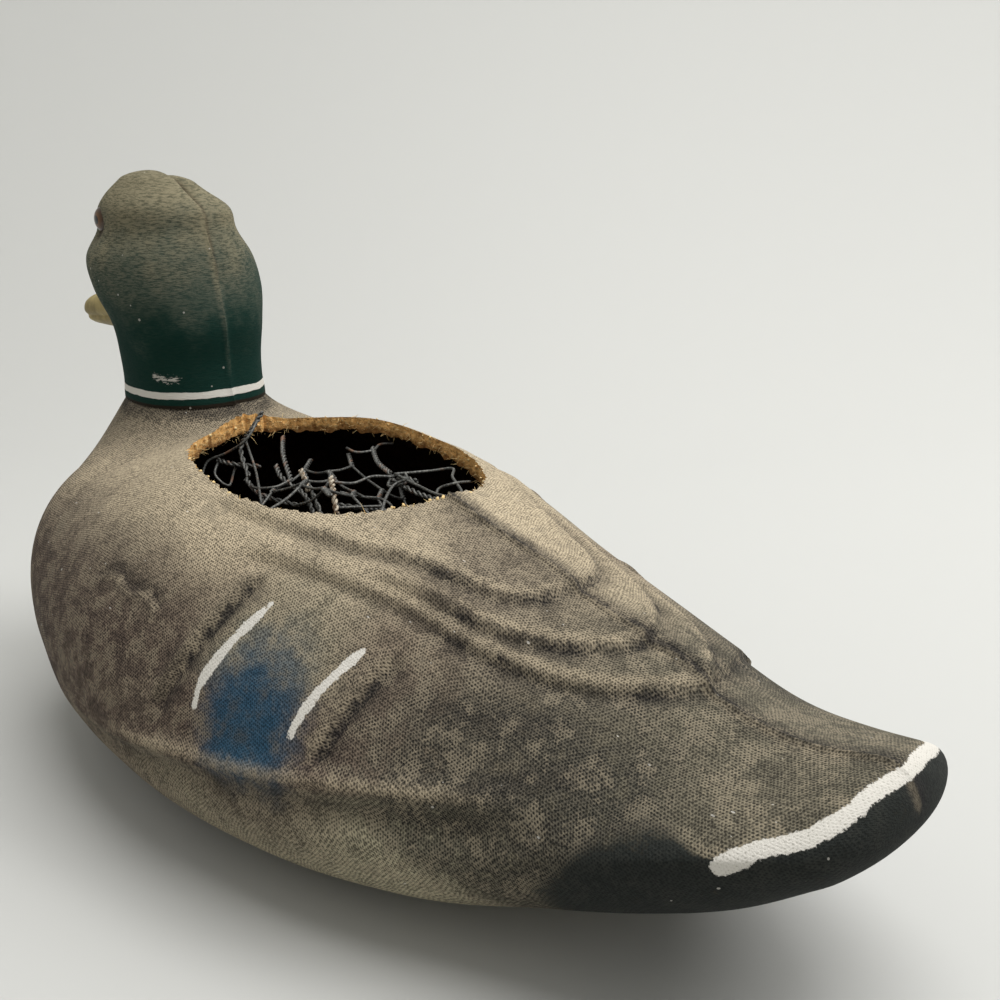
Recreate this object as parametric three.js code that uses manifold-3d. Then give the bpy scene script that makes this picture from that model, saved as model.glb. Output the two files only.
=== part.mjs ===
// A moulded paper-pulp mallard drake decoy whose back was cut open to hold flowers, with a bent
// sheet of hexagonal wire netting standing in the hollow. Body, neck, head and bill are one shell.
// Units are millimetres. +X runs from the tail to the bill, +Y to the duck's left, +Z up.
// Stations are counted forwards from the tail's tip, so the tail is at 0 and the breast at BODY_LENGTH.
import * as THREE from "three";
import { mergeVertices } from "three/addons/utils/BufferGeometryUtils.js";
import Module from "manifold-3d";

const wasm = await Module();
wasm.setup();

// Driving dimensions
const BODY_LENGTH = 346;
const WALL = 5;
const TAIL_ROUND = 11;
const BREAST_ROUND = 58;
const NECK_X = 303;
const NECK_Z = 112;
const HEAD_HEIGHT = 86;
const BILL_LENGTH = 58;
const EYE_RADIUS = 5;
const HOLE_X = 212;
const HOLE_HALF_LENGTH = 60;
const HOLE_HALF_WIDTH = 43;
const CLEARANCE = 0.3;
const SINGLE_WIRE = 0.6;
const TWISTED_WIRE = 1.1;

// The body's outline at nine stations: ridge and belly heights, greatest half-width, the height
// of that width, and how square the section is above and below it (1 a gable, 2 an ellipse).
const BODY = {
  at: [0, 30, 75, 130, 185, 235, 280, 320, 346],
  ridge: [75, 68, 78, 95, 109, 112, 104, 103, 88],
  belly: [53, 31, 14, -1.5, -1.5, -1.5, -1, 9, 26],
  half: [26, 39, 56, 78, 90, 91, 83, 71, 58],
  beam: [62, 55, 40, 38, 39, 43, 48, 54, 56],
  upper: [1.8, 1.4, 1.6, 1.6, 1.75, 2.05, 2.2, 2.35, 2.0],
  lower: [2.1, 2.3, 2.5, 2.5, 2.5, 2.5, 2.4, 2.3, 2.2],
};

// The neck's and head's outline at shares of the head's height: how far the section's centre is
// ahead of the neck's axis, its reach forwards and backwards from there, and its half-width.
const HEAD = {
  at: [0, 0.18, 0.34, 0.5, 0.63, 0.74, 0.85, 0.96],
  centre: [3, 3, 3, 8, 12, 13, 13, 15],
  front: [32, 31, 32, 36, 38, 33, 32, 20],
  back: [28, 26, 27, 30, 31, 28, 25, 14],
  half: [24.5, 25.5, 27, 30, 29, 24, 22, 13],
};
const HEAD_SQUARE = 2.2;

// The bill's outline at shares of its length, in heights above the neck's foot
const BILL = {
  at: [0, 0.35, 0.7, 1],
  half: [13, 11, 12, 12],
  top: [53, 44, 37.5, 34.5],
  under: [23, 22, 22, 22.5],
};
const BILL_ROOT = 24;
const BILL_SQUARE = 2.4;
const BILL_ROUND = 0.2;

// The foot of the neck spreads over the body as far as this oval round the neck's axis, and leaves
// the neck at this angle to the upright.
const FOOT = { ahead: 38, behind: 43, side: 60, angle: 36 };

// Moulded feather edges. The flank's ridge runs along the side at a height that falls forwards.
// The wing and back feathers overlap in steps, whose edges run outwards from the spine.
const FLANK = { from: 62, to: 222, height: 60, fall: 0.1, rise: 2.2, width: 6, groove: 8 };
const FEATHER_EDGES = [
  { from: 88, to: 188, start: 28, spread: 0.265 },
  { from: 100, to: 216, start: 16, spread: 0.3 },
];
const FEATHER_STEP = 1.6;
const FEATHER_FADE = 10;

// The wire netting: a sheet of hexagonal mesh bent into a tall arch, which stands aslant on the floor
// of the hollow. Rows of twisted pairs are joined by single wires, and the arch spans some columns.
const NET = { x: 217, base: 29, turn: -35, across: 40.2, high: 66, spread: 212 };
const NET_ROWS = 4;
const NET_COLUMNS = 9;
const TWIST_LENGTH = 13;
const ROW_RISE = 11;

// Cut ends of the netting, which stand up into the opening: their place in it, and their tips
const LOOSE_ENDS = [
  { row: 3, column: 3, tip: [268, -7, 109] },
  { row: 0, column: 3, tip: [188, 12, 101] },
];

// A smooth curve through the values at the stations, with slopes averaged from both sides
function smooth(at, values, x) {
  const last = at.length - 1;
  const slope = (i) => (values[i + 1] - values[i]) / (at[i + 1] - at[i]);
  const tangent = (i) => {
    if (i === 0) return slope(0);
    if (i === last) return slope(last - 1);
    const before = at[i] - at[i - 1];
    const after = at[i + 1] - at[i];
    return (slope(i) * before + slope(i - 1) * after) / (before + after);
  };
  let i = 0;
  while (i < last - 1 && x >= at[i + 1]) i += 1;
  const span = at[i + 1] - at[i];
  const t = (x - at[i]) / span;
  const rise = t * t * (3 - 2 * t);
  const lean = span * t * (1 - t);
  return values[i] * (1 - rise) + values[i + 1] * rise + lean * ((1 - t) * tangent(i) - t * tangent(i + 1));
}

const power = (value, exponent) => Math.sign(value) * Math.abs(value) ** exponent;

// How much of the full section is left where an end is rounded over the last stretch
function rounding(distanceFromEnd, stretch) {
  const t = THREE.MathUtils.clamp(1 - distanceFromEnd / stretch, 0, 1);
  return Math.sqrt(1 - t * t);
}

// A closed surface through rings of points, ending in a point at both ends
function loft(start, rings, end) {
  const around = rings[0].length;
  const points = [start, ...rings.flat(), end];
  const tip = points.length - 1;
  const at = (ring, i) => 1 + ring * around + (i % around);
  const faces = [];
  for (let i = 0; i < around; i += 1) {
    faces.push(0, at(0, i + 1), at(0, i));
    faces.push(tip, at(rings.length - 1, i), at(rings.length - 1, i + 1));
    for (let ring = 0; ring < rings.length - 1; ring += 1) {
      const [a, b] = [at(ring, i), at(ring, i + 1)];
      const [c, d] = [at(ring + 1, i), at(ring + 1, i + 1)];
      faces.push(a, b, d, a, d, c);
    }
  }
  return new THREE.BufferGeometry().setFromPoints(points).setIndex(faces);
}

// A closed geometry as a solid for cutting and joining, facing outwards whichever way it was wound
function solid(geometry) {
  const bare = geometry.clone();
  bare.deleteAttribute("normal");
  bare.deleteAttribute("uv");
  const merged = mergeVertices(bare, 1e-4);
  const vertProperties = new Float32Array(merged.attributes.position.array);
  const triVerts = new Uint32Array(merged.index.array);
  const made = new wasm.Manifold(new wasm.Mesh({ numProp: 3, vertProperties, triVerts }));
  if (made.volume() > 0) return made;
  triVerts.reverse();
  return new wasm.Manifold(new wasm.Mesh({ numProp: 3, vertProperties, triVerts }));
}

function geometryOf(made) {
  const mesh = made.getMesh();
  const geometry = new THREE.BufferGeometry();
  geometry.setAttribute("position", new THREE.BufferAttribute(new Float32Array(mesh.vertProperties), 3));
  geometry.setIndex(new THREE.BufferAttribute(new Uint32Array(mesh.triVerts), 1));
  return geometry;
}

// Body

// How full the section is at a station, where the tail and the breast are rounded
function fullness(station, from, to, tailRound, breastRound) {
  return Math.min(rounding(station - from, tailRound), rounding(to - station, breastRound));
}

const bump = (distance, width) => Math.exp(-((distance / width) ** 2));
const step = THREE.MathUtils.smoothstep;

// How far the moulded feathers stand out at a place on the body
function feathers(x, y, z) {
  const flankHeight = FLANK.height - FLANK.fall * x;
  const above = z - flankHeight;
  const along = step(x, FLANK.from, FLANK.from + 30) * (1 - step(x, FLANK.to - 40, FLANK.to));
  let out = FLANK.rise * along * (bump(above, FLANK.width) - bump(above + FLANK.groove, FLANK.width));
  if (z < flankHeight + 12) return out;
  for (const edge of FEATHER_EDGES) {
    const away = Math.abs(y) - edge.start - edge.spread * (x - edge.from);
    const ends = step(x, edge.from - 20, edge.from) * (1 - step(x, edge.to, edge.to + 20));
    out += FEATHER_STEP * ends * step(-away, -1, 4) * step(FEATHER_FADE + 8 + away, 0, FEATHER_FADE);
  }
  return out;
}

// Angles round a section, close together along the flanks and far apart under the belly
function sectionAngles(flank, back, belly) {
  const degrees = [];
  for (let i = 0; i < flank; i += 1) degrees.push(-30 + (60 * i) / flank);
  for (let i = 0; i < back; i += 1) degrees.push(30 + (120 * i) / back);
  for (let i = 0; i < flank; i += 1) degrees.push(150 + (60 * i) / flank);
  for (let i = 0; i < belly; i += 1) degrees.push(210 + (120 * i) / belly);
  return degrees.map(THREE.MathUtils.degToRad);
}

function bodyRing(station, share, inset, angles) {
  const value = (name) => smooth(BODY.at, BODY[name], station);
  const beam = value("beam");
  const half = (value("half") - inset) * share;
  const above = (value("ridge") - beam - inset) * share;
  const below = (beam - value("belly") - inset) * share;
  return angles.map((angle) => {
    const upper = Math.sin(angle) >= 0;
    const square = 2 / value(upper ? "upper" : "lower");
    const y = half * power(Math.cos(angle), square);
    const z = (upper ? above : below) * power(Math.sin(angle), square);
    const out = inset > 0 ? 1 : 1 + (feathers(station, y, beam + z) * share) / Math.hypot(y, z);
    return new THREE.Vector3(station, y * out, beam + z * out);
  });
}

// The height of the body's upper surface at a place in plan
function bodyTop(x, y, inset) {
  const value = (name) => smooth(BODY.at, BODY[name], x);
  const share = fullness(x, inset, BODY_LENGTH - inset, TAIL_ROUND, BREAST_ROUND - inset);
  const out = Math.min(1, Math.abs(y) / ((value("half") - inset) * share));
  const lift = (1 - out ** value("upper")) ** (1 / value("upper"));
  return value("beam") + (value("ridge") - value("beam") - inset) * share * lift;
}

// The body between two stations, its ends rounded over the given stretches
function bodyLoft(from, to, tailRound, breastRound, inset, steps, angles) {
  const ends = 5;
  const stations = [];
  for (let i = 1; i <= ends; i += 1) stations.push(from + tailRound * (1 - Math.cos((i / ends) * Math.PI / 2)));
  const straight = to - breastRound - from - tailRound;
  for (let i = 1; i < steps; i += 1) stations.push(from + tailRound + (straight * i) / steps);
  for (let i = 2 * ends; i > 0; i -= 1) stations.push(to - breastRound * (1 - Math.cos((i / ends) * Math.PI / 4)));
  const rings = stations.map((station) => {
    return bodyRing(station, fullness(station, from, to, tailRound, breastRound), inset, angles);
  });
  const pole = (station) => new THREE.Vector3(station, 0, smooth(BODY.at, BODY.beam, station));
  return loft(pole(from), rings, pole(to));
}

// Neck, head and bill

const CROWN_SHARE = HEAD.at.at(-1);

function headRing(share, inset, around) {
  const value = (name) => smooth(HEAD.at, HEAD[name], share);
  const left = rounding(1 - share, 1 - CROWN_SHARE);
  return Array.from({ length: around }, (_, i) => {
    const angle = (i / around) * 2 * Math.PI;
    const reach = value(Math.cos(angle) > 0 ? "front" : "back") - inset;
    const x = value("centre") + reach * left * power(Math.cos(angle), 2 / HEAD_SQUARE);
    const y = (value("half") - inset) * left * power(Math.sin(angle), 2 / HEAD_SQUARE);
    return new THREE.Vector3(NECK_X + x, y, NECK_Z + HEAD_HEIGHT * share);
  });
}

function headLoft(inset, steps, around) {
  const top = 1 - inset / HEAD_HEIGHT;
  const shares = [];
  for (let i = 0; i < steps; i += 1) shares.push((CROWN_SHARE * i) / steps);
  for (const angle of [0, 25, 50, 70]) {
    shares.push(CROWN_SHARE + (1 - CROWN_SHARE) * Math.sin(THREE.MathUtils.degToRad(angle)));
  }
  const rings = shares.map((share) => {
    const ring = headRing(share, inset, around);
    for (const point of ring) point.z = NECK_Z + (point.z - NECK_Z) * top;
    return ring;
  });
  const middle = (share, z) => new THREE.Vector3(NECK_X + smooth(HEAD.at, HEAD.centre, share), 0, z);
  return loft(middle(0, rings[0][0].z), rings, middle(1, NECK_Z + HEAD_HEIGHT * top));
}

// The foot of the neck: each line leaves the neck outwards and meets the body along its slope
function neckFoot(inset, steps, around) {
  const axis = NECK_X + HEAD.centre[0];
  const lines = headRing(0, inset, around).map((start) => {
    const angle = Math.atan2(start.y / HEAD.half[0], (start.x - axis) / HEAD.front[0]);
    const reach = Math.cos(angle) > 0 ? FOOT.ahead : FOOT.behind;
    const place = (share) => {
      const x = axis + (reach - inset) * share * Math.cos(angle);
      const y = (FOOT.side - inset) * share * Math.sin(angle);
      return new THREE.Vector3(x, y, bodyTop(x, y, inset) - CLEARANCE);
    };
    const end = place(1);
    const slope = place(0.96).sub(end).normalize();
    const span = start.distanceTo(end);
    const tilt = THREE.MathUtils.degToRad(FOOT.angle);
    const away = new THREE.Vector3(Math.cos(angle) * Math.sin(tilt), Math.sin(angle) * Math.sin(tilt), -Math.cos(tilt));
    const below = start.clone().addScaledVector(away, span * 0.25);
    return new THREE.CubicBezierCurve3(start, below, end.clone().addScaledVector(slope, span * 0.4), end);
  });
  const rings = [];
  for (let i = 0; i <= steps; i += 1) rings.push(lines.map((line) => line.getPoint(i / steps)));
  const lowest = Math.min(...rings[steps].map((point) => point.z));
  const middle = (z) => new THREE.Vector3(axis, 0, z);
  return loft(middle(NECK_Z + CLEARANCE), rings, middle(lowest - WALL));
}

function billLoft(steps, around) {
  const place = (share, y, z) => new THREE.Vector3(NECK_X + BILL_ROOT + share * BILL_LENGTH, y, NECK_Z + z);
  const rings = [];
  for (let i = 0; i <= steps; i += 1) {
    const share = Math.sin(((i / steps) * Math.PI) / 2) * 0.995;
    const value = (name) => smooth(BILL.at, BILL[name], share);
    const left = rounding(1 - share, BILL_ROUND);
    const middle = (value("top") + value("under")) / 2;
    const thick = (value("top") - value("under")) / 2;
    rings.push(
      Array.from({ length: around }, (_, k) => {
        const angle = (k / around) * 2 * Math.PI;
        const y = value("half") * left * power(Math.cos(angle), 2 / BILL_SQUARE);
        return place(share, y, middle + thick * left * power(Math.sin(angle), 2 / BILL_SQUARE));
      }),
    );
  }
  const pole = (i, share) => place(share, 0, (BILL.top.at(i) + BILL.under.at(i)) / 2);
  return loft(pole(0, -0.02), rings, pole(-1, 1));
}

// The opening sawn in the back: an uneven oval, cut straight down through the upper wall

function holeCutter(around) {
  const outline = Array.from({ length: around }, (_, i) => {
    const angle = (i / around) * 2 * Math.PI;
    const uneven = 1 + 0.02 * Math.cos(3 * angle + 1) + 0.012 * Math.cos(5 * angle + 2);
    const x = HOLE_X + HOLE_HALF_LENGTH * uneven * Math.cos(angle);
    return new THREE.Vector2(x, HOLE_HALF_WIDTH * uneven * Math.sin(angle));
  });
  const cutter = new THREE.ExtrudeGeometry(new THREE.Shape(outline), { depth: 60, bevelEnabled: false });
  return cutter.translate(0, 0, 70);
}

// Everything below the flat that the duck stands on
function ground() {
  return new THREE.BoxGeometry(2 * BODY_LENGTH, BODY_LENGTH, 20).translate(0, 0, -10);
}

// Eyes: flattened glass domes pressed into the sides of the head

const EYE = { ahead: 26, side: 19.2, up: 68, halfThickness: 3.6 };

function eye(side, clearance) {
  const dome = new THREE.SphereGeometry(1, 12, 8);
  dome.scale(EYE_RADIUS + clearance, EYE.halfThickness + clearance, EYE_RADIUS + clearance);
  return dome.translate(NECK_X + EYE.ahead, side * EYE.side, NECK_Z + EYE.up);
}

// Wire netting

// A straight square wire, run a little past both ends so that wires that meet grow together
function wire(from, to, radius) {
  const corners = [0, 90, 180, 270].map((degrees) => {
    return new THREE.Vector2(radius, 0).rotateAround(new THREE.Vector2(), THREE.MathUtils.degToRad(degrees));
  });
  const run = new THREE.Vector3().subVectors(to, from);
  const depth = run.length() + radius;
  const rod = new THREE.ExtrudeGeometry(new THREE.Shape(corners), { depth, bevelEnabled: false });
  const along = new THREE.Quaternion().setFromUnitVectors(new THREE.Vector3(0, 0, 1), run.normalize());
  const start = from.clone().addScaledVector(run, -radius / 2);
  return solid(rod.applyQuaternion(along).translate(start.x, start.y, start.z));
}

// A place on the arch: a column round it and a distance along it, with the dents of a bent sheet
function onArch(column, along) {
  const share = column / (NET_COLUMNS - 1);
  const round = THREE.MathUtils.degToRad(90 + NET.spread * (0.5 - share) + 2.5 * Math.sin(2.3 * column + along / 9));
  const dent = 1 - 0.06 * Math.cos(2 * round + along / 30) - 0.04 * Math.sin(3 * round + 1 + along / 22);
  const length = NET_ROWS * TWIST_LENGTH + (NET_ROWS - 1) * ROW_RISE;
  const forward = along - length / 2 + 4 * Math.sin(1.9 * column);
  const place = new THREE.Vector3(forward, NET.across * dent * Math.cos(round), NET.high * dent * Math.sin(round));
  place.applyAxisAngle(new THREE.Vector3(0, 0, 1), THREE.MathUtils.degToRad(NET.turn));
  return place.add(new THREE.Vector3(NET.x, 0, NET.base));
}

function netting() {
  const pitch = TWIST_LENGTH + ROW_RISE;
  const start = (row, column) => onArch(column, row * pitch);
  const end = (row, column) => onArch(column, row * pitch + TWIST_LENGTH);
  const wires = [];
  for (let row = 0; row < NET_ROWS; row += 1) {
    const first = (row % 2) / 2;
    for (let column = first; column <= NET_COLUMNS - 1; column += 1) {
      wires.push(wire(start(row, column), end(row, column), TWISTED_WIRE));
      for (const next of [column - 0.5, column + 0.5]) {
        if (row === NET_ROWS - 1 || next < 0 || next > NET_COLUMNS - 1) continue;
        wires.push(wire(end(row, column), start(row + 1, next), SINGLE_WIRE));
      }
    }
  }
  for (const { row, column, tip } of LOOSE_ENDS) {
    const place = column + (row % 2) / 2;
    wires.push(wire(row === 0 ? start(row, place) : end(row, place), new THREE.Vector3(...tip), TWISTED_WIRE));
  }
  return wasm.Manifold.union(wires);
}

const outside = solid(bodyLoft(0, BODY_LENGTH, TAIL_ROUND, BREAST_ROUND, 0, 32, sectionAngles(8, 14, 6)))
  .add(solid(neckFoot(0, 5, 24)))
  .add(solid(headLoft(0, 13, 24)))
  .add(solid(billLoft(7, 16)))
  .subtract(solid(ground()));
const inside = solid(bodyLoft(28, BODY_LENGTH - WALL, 20, BREAST_ROUND - WALL, WALL, 11, sectionAngles(3, 7, 4)))
  .add(solid(neckFoot(WALL, 3, 12)))
  .add(solid(headLoft(WALL, 6, 12)));
const shell = outside
  .subtract(inside)
  .subtract(solid(holeCutter(48)))
  .subtract(solid(eye(1, CLEARANCE)))
  .subtract(solid(eye(-1, CLEARANCE)));

const pulp = new THREE.MeshStandardMaterial({ color: 0x5a5148, roughness: 0.9, metalness: 0 });
const glass = new THREE.MeshStandardMaterial({ color: 0x6b3a16, roughness: 0.15, metalness: 0 });

function piece(name, geometry, material) {
  const mesh = new THREE.Mesh(geometry, material);
  mesh.name = name;
  return mesh;
}

const galvanised = new THREE.MeshStandardMaterial({ color: 0x6a6863, roughness: 0.5, metalness: 0.8 });

const duck = new THREE.Group();
duck.add(piece("moulded_shell", geometryOf(shell), pulp));
duck.add(piece("eye_left", eye(1, 0), glass));
duck.add(piece("eye_right", eye(-1, 0), glass));
duck.add(piece("wire_netting", geometryOf(netting()), galvanised));

// The origin is under the middle of the whole duck, on the surface that it stands on.
const middle = new THREE.Box3().setFromObject(duck).getCenter(new THREE.Vector3());
duck.position.x = -middle.x;

export default duck;
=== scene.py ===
import math

import bpy
import numpy as np
from mathutils import Matrix, Vector


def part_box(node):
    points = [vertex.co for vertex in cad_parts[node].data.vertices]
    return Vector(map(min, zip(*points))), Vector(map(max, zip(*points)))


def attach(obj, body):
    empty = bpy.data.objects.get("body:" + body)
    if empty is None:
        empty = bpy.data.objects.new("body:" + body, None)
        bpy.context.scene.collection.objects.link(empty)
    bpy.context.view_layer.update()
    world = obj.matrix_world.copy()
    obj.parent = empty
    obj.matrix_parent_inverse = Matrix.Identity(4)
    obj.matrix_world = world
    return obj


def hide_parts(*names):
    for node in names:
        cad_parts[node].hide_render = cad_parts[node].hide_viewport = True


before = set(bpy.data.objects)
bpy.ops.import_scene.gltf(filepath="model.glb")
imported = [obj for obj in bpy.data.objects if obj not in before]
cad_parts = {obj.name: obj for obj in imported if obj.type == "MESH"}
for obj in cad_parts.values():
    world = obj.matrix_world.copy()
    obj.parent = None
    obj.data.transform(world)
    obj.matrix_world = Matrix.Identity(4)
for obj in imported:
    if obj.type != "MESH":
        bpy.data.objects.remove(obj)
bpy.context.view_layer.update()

MM = 0.001
TAIL_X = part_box("moulded_shell")[0].x / MM
HALF_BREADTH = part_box("moulded_shell")[1].y / MM
CROWN_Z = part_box("moulded_shell")[1].z / MM
rng = np.random.default_rng(7)

# Driving dimensions, as in the CAD model
BODY_LENGTH = 346
WALL = 5
TAIL_ROUND = 11
BREAST_ROUND = 58
SOLID_TAIL = 28
HOLLOW_ROUND = 20
NECK_X = 303
NECK_Z = 112
HEAD_HEIGHT = 86
BILL_LENGTH = 58
HOLE_X = 212
HOLE_HALF_LENGTH = 60
HOLE_HALF_WIDTH = 43

# The torn edge leans off the sawn oval towards the front left. Fibres and crumbs hang from it.
RIM_SHIFT = 1.6
RIM_TURN = math.radians(45)
RIM_RAGGED = 0.45
FIBRE_COUNT = 700
CRUMB_COUNT = 90
CRUMB_ANGLES = [100, 128, 168, 175, 60, 205]

# The body's outline at nine stations: ridge and belly heights, greatest half-width, the height
# of that width, and how square the section is above and below it.
BODY = {
    "at": [0, 30, 75, 130, 185, 235, 280, 320, 346],
    "ridge": [75, 68, 78, 95, 109, 112, 104, 103, 88],
    "belly": [53, 31, 14, -1.5, -1.5, -1.5, -1, 9, 26],
    "half": [26, 39, 56, 78, 90, 91, 83, 71, 58],
    "beam": [62, 55, 40, 38, 39, 43, 48, 54, 56],
    "upper": [1.8, 1.4, 1.6, 1.6, 1.75, 2.05, 2.2, 2.35, 2.0],
    "lower": [2.1, 2.3, 2.5, 2.5, 2.5, 2.5, 2.4, 2.3, 2.2],
}

# The neck's and head's outline at shares of the head's height
HEAD = {
    "at": [0, 0.18, 0.34, 0.5, 0.63, 0.74, 0.85, 0.96],
    "centre": [3, 3, 3, 8, 12, 13, 13, 15],
    "front": [32, 31, 32, 36, 38, 33, 32, 20],
    "back": [28, 26, 27, 30, 31, 28, 25, 14],
    "half": [24.5, 25.5, 27, 30, 29, 24, 22, 13],
}
HEAD_SQUARE = 2.2
CROWN_SHARE = HEAD["at"][-1]

# The bill's outline at shares of its length, in heights above the neck's foot
BILL = {
    "at": [0, 0.35, 0.7, 1],
    "half": [13, 11, 12, 12],
    "top": [53, 44, 37.5, 34.5],
    "under": [23, 22, 22, 22.5],
}
BILL_ROOT = 24
BILL_SQUARE = 2.4
BILL_ROUND = 0.2
FOOT = {"ahead": 38, "behind": 43, "side": 60, "angle": 36}
EYE = {"ahead": 26, "side": 22, "up": 68}

# The flank's moulded ridge, with the groove under it
FLANK = {"from": 62, "to": 258, "height": 60, "fall": 0.1, "rise": 2.2, "width": 3.6, "groove": 7}

# Moulded feather edges in plan, each from near the opening back to the spine, and dark smudges behind them
FEATHER_EDGES = [
    [(214, 49), (184, 43), (162, 36), (137, 26), (115, 20), (106, 13), (102, 0)],
    [(150, 38), (130, 32), (107, 27), (90, 18), (80, 8), (77, 0)],
    [(190, 55), (167, 48), (135, 38), (103, 32), (79, 23), (65, 12), (56, 0)],
]
SMUDGES = [
    [(124, 54), (105, 48), (93, 43), (82, 37), (64, 27)],
    [(98, 62), (84, 52), (70, 42), (58, 33)],
]
FEATHER_STEP = 1.25
FEATHER_FADE = 24

# On the right of the back the hindmost edge stands higher
FAR_EDGE = [(58, 0), (60, 12), (66, 26), (74, 42)]
FAR_STEP = 1.9

# The two slanting creases of the wing patch, and a wrinkle on the shoulder, in plan
WING_CREASES = [
    [(173, 54), (175, 63), (177.5, 74), (181, 82), (185, 88)],
    [(122, 45), (124, 56), (125.5, 64), (127, 73)],
]
WRINKLE = [(237, 80), (219, 77), (203, 76), (194, 74)]

# Distances to lines stop here, and grow by so much where a line fades out
FAR_AWAY = 40.0
FADE = 5
LONG_FADE = 6

# Painted white lines: the two bars of the wing patch, the tail's stripe with its spur, and a
# smudge on the nape
WING_BARS = [
    [(164, 58, 81), (165, 62, 78), (168, 71, 70), (170, 79, 62), (169, 82, 56)],
    [(131, 51, 75), (132, 54, 73), (135, 63, 66), (136, 69, 60), (136, 72, 56)],
]
TAIL_STRIPE = [(26, 37, 55), (18, 31, 61), (12, 27, 64), (8, 20, 67), (6, 11, 70), (4, -1, 71)]
TAIL_SPUR = np.array([(7, 12, 69), (1.5, 9, 62)], float)
RING_Z = NECK_Z + 5.6
RING_WIDTH = 2.8
NAPE_SMUDGE = [(294, 22.8, 124), (290, 21, 123), (286, 18.3, 123.2)]
WING_BAR_WIDTH = 2.6
TAIL_STRIPE_WIDTH = 4.0

# The print of the mould's screen: the distance between its pits, and how deep they are
PRINT_PERIOD = 0.9
PRINT_DEPTH = 0.34


# Curves and surfaces


def smooth(at, values, x):
    """A smooth curve through the values at the stations, with slopes averaged from both sides."""
    at, values, x = np.array(at, float), np.array(values, float), np.asarray(x, float)
    spans = np.diff(at)
    slopes = np.diff(values) / spans
    middle = (slopes[1:] * spans[:-1] + slopes[:-1] * spans[1:]) / (spans[:-1] + spans[1:])
    tangents = np.concatenate([slopes[:1], middle, slopes[-1:]])
    i = np.clip(np.searchsorted(at, x, side="right") - 1, 0, len(at) - 2)
    t = (x - at[i]) / spans[i]
    rise = t * t * (3 - 2 * t)
    lean = spans[i] * t * (1 - t)
    level = values[i] * (1 - rise) + values[i + 1] * rise
    return level + lean * ((1 - t) * tangents[i] - t * tangents[i + 1])


def turns(count):
    """Even angles once round a circle."""
    return np.linspace(0, 2 * math.pi, count, endpoint=False)


def xyz(x, y, z):
    """Points from their three coordinates, of which some may be single numbers."""
    return np.column_stack(np.broadcast_arrays(x, y, z))


def unit(vectors):
    """Vectors scaled to a length of one."""
    return vectors / np.linalg.norm(vectors, axis=-1, keepdims=True)


def power(value, exponent):
    return np.sign(value) * np.abs(value) ** exponent


def rounding(distance, stretch):
    """How much of the full section is left where an end is rounded over the last stretch."""
    t = np.clip(1 - np.asarray(distance, float) / stretch, 0, 1)
    return np.sqrt(1 - t * t)


def fullness(station, start, end, tail_round, breast_round):
    return np.minimum(rounding(station - start, tail_round), rounding(end - station, breast_round))


def step(value, low, high):
    """Rises smoothly from 0 at low to 1 at high."""
    t = np.clip((value - low) / (high - low), 0, 1)
    return t * t * (3 - 2 * t)


def bump(distance, width):
    """A rounded rise that is 1 where the distance is 0."""
    return np.exp(-((distance / width) ** 2))


def body_value(name, station):
    return smooth(BODY["at"], BODY[name], station)


def body_top(x, y, inset=0):
    """The height of the body's upper surface at a place in plan."""
    x, y = np.asarray(x, float), np.asarray(y, float)
    share = fullness(x, inset, BODY_LENGTH - inset, TAIL_ROUND, BREAST_ROUND - inset)
    share = np.maximum(share, 1e-6)
    out = np.minimum(1, np.abs(y) / ((body_value("half", x) - inset) * share))
    upper = body_value("upper", x)
    lift = (1 - out**upper) ** (1 / upper)
    beam = body_value("beam", x)
    return beam + (body_value("ridge", x) - beam - inset) * share * lift


def half_section(station, share, inset, count):
    """The left half of a section, from the ridge round to the belly, as y and z."""
    angle = np.radians(np.linspace(90, -90, count))
    upper = np.sin(angle) >= 0
    square = 2 / np.where(upper, body_value("upper", station), body_value("lower", station))
    beam = body_value("beam", station)
    above = (body_value("ridge", station) - beam - inset) * share
    below = (beam - body_value("belly", station) - inset) * share
    y = (body_value("half", station) - inset) * share * np.abs(np.cos(angle)) ** square
    z = np.where(upper, above, below) * power(np.sin(angle), square)
    return y, beam + z


def arc_length(y, z):
    return np.concatenate([[0], np.cumsum(np.hypot(np.diff(y), np.diff(z)))])


def body_rings(stations, shares, inset, places):
    """Sections through the body, with points at these shares of the way from ridge to belly."""
    rings = []
    for station, share in zip(stations, shares):
        y, z = half_section(station, share, inset, 721)
        length = arc_length(y, z)
        y, z = np.interp(places * length[-1], length, y), np.interp(places * length[-1], length, z)
        left = xyz(station, y, z)
        right = left[1:-1] * [1, -1, 1]
        rings.append(np.concatenate([left[::-1], right]))
    return np.array(rings)


def ring_places(fine, coarse):
    """Shares of the way from ridge to belly: closest at the ridge, wide apart under the belly."""
    spacing = np.concatenate([np.linspace(0.35, 1, 12), np.ones(fine), np.full(coarse, 3.0)])
    places = np.concatenate([[0], np.cumsum(spacing)])
    return places / places[-1]


def body_stations(start, end, tail_round, breast_round, ends, steps):
    quarter = np.linspace(0, math.pi / 2, ends + 1)[1:]
    tail = start + tail_round * (1 - np.cos(quarter))
    straight = np.linspace(start + tail_round, end - breast_round, steps + 1)[1:-1]
    fine = np.linspace(0, math.pi / 2, 3 * ends + 1)[1:]
    breast = (end - breast_round * (1 - np.cos(fine)))[::-1]
    return np.concatenate([tail, straight, breast])


def grid_normals(rings):
    along = np.gradient(rings, axis=0)
    around = np.roll(rings, -1, axis=1) - np.roll(rings, 1, axis=1)
    normals = np.cross(around, along)
    normals /= np.maximum(np.linalg.norm(normals, axis=2, keepdims=True), 1e-9)
    outwards = rings - rings.mean(axis=1, keepdims=True)
    facing = np.sign((normals * outwards).sum())
    return normals * facing


# Paths on the body, and how far a place is from them


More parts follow.
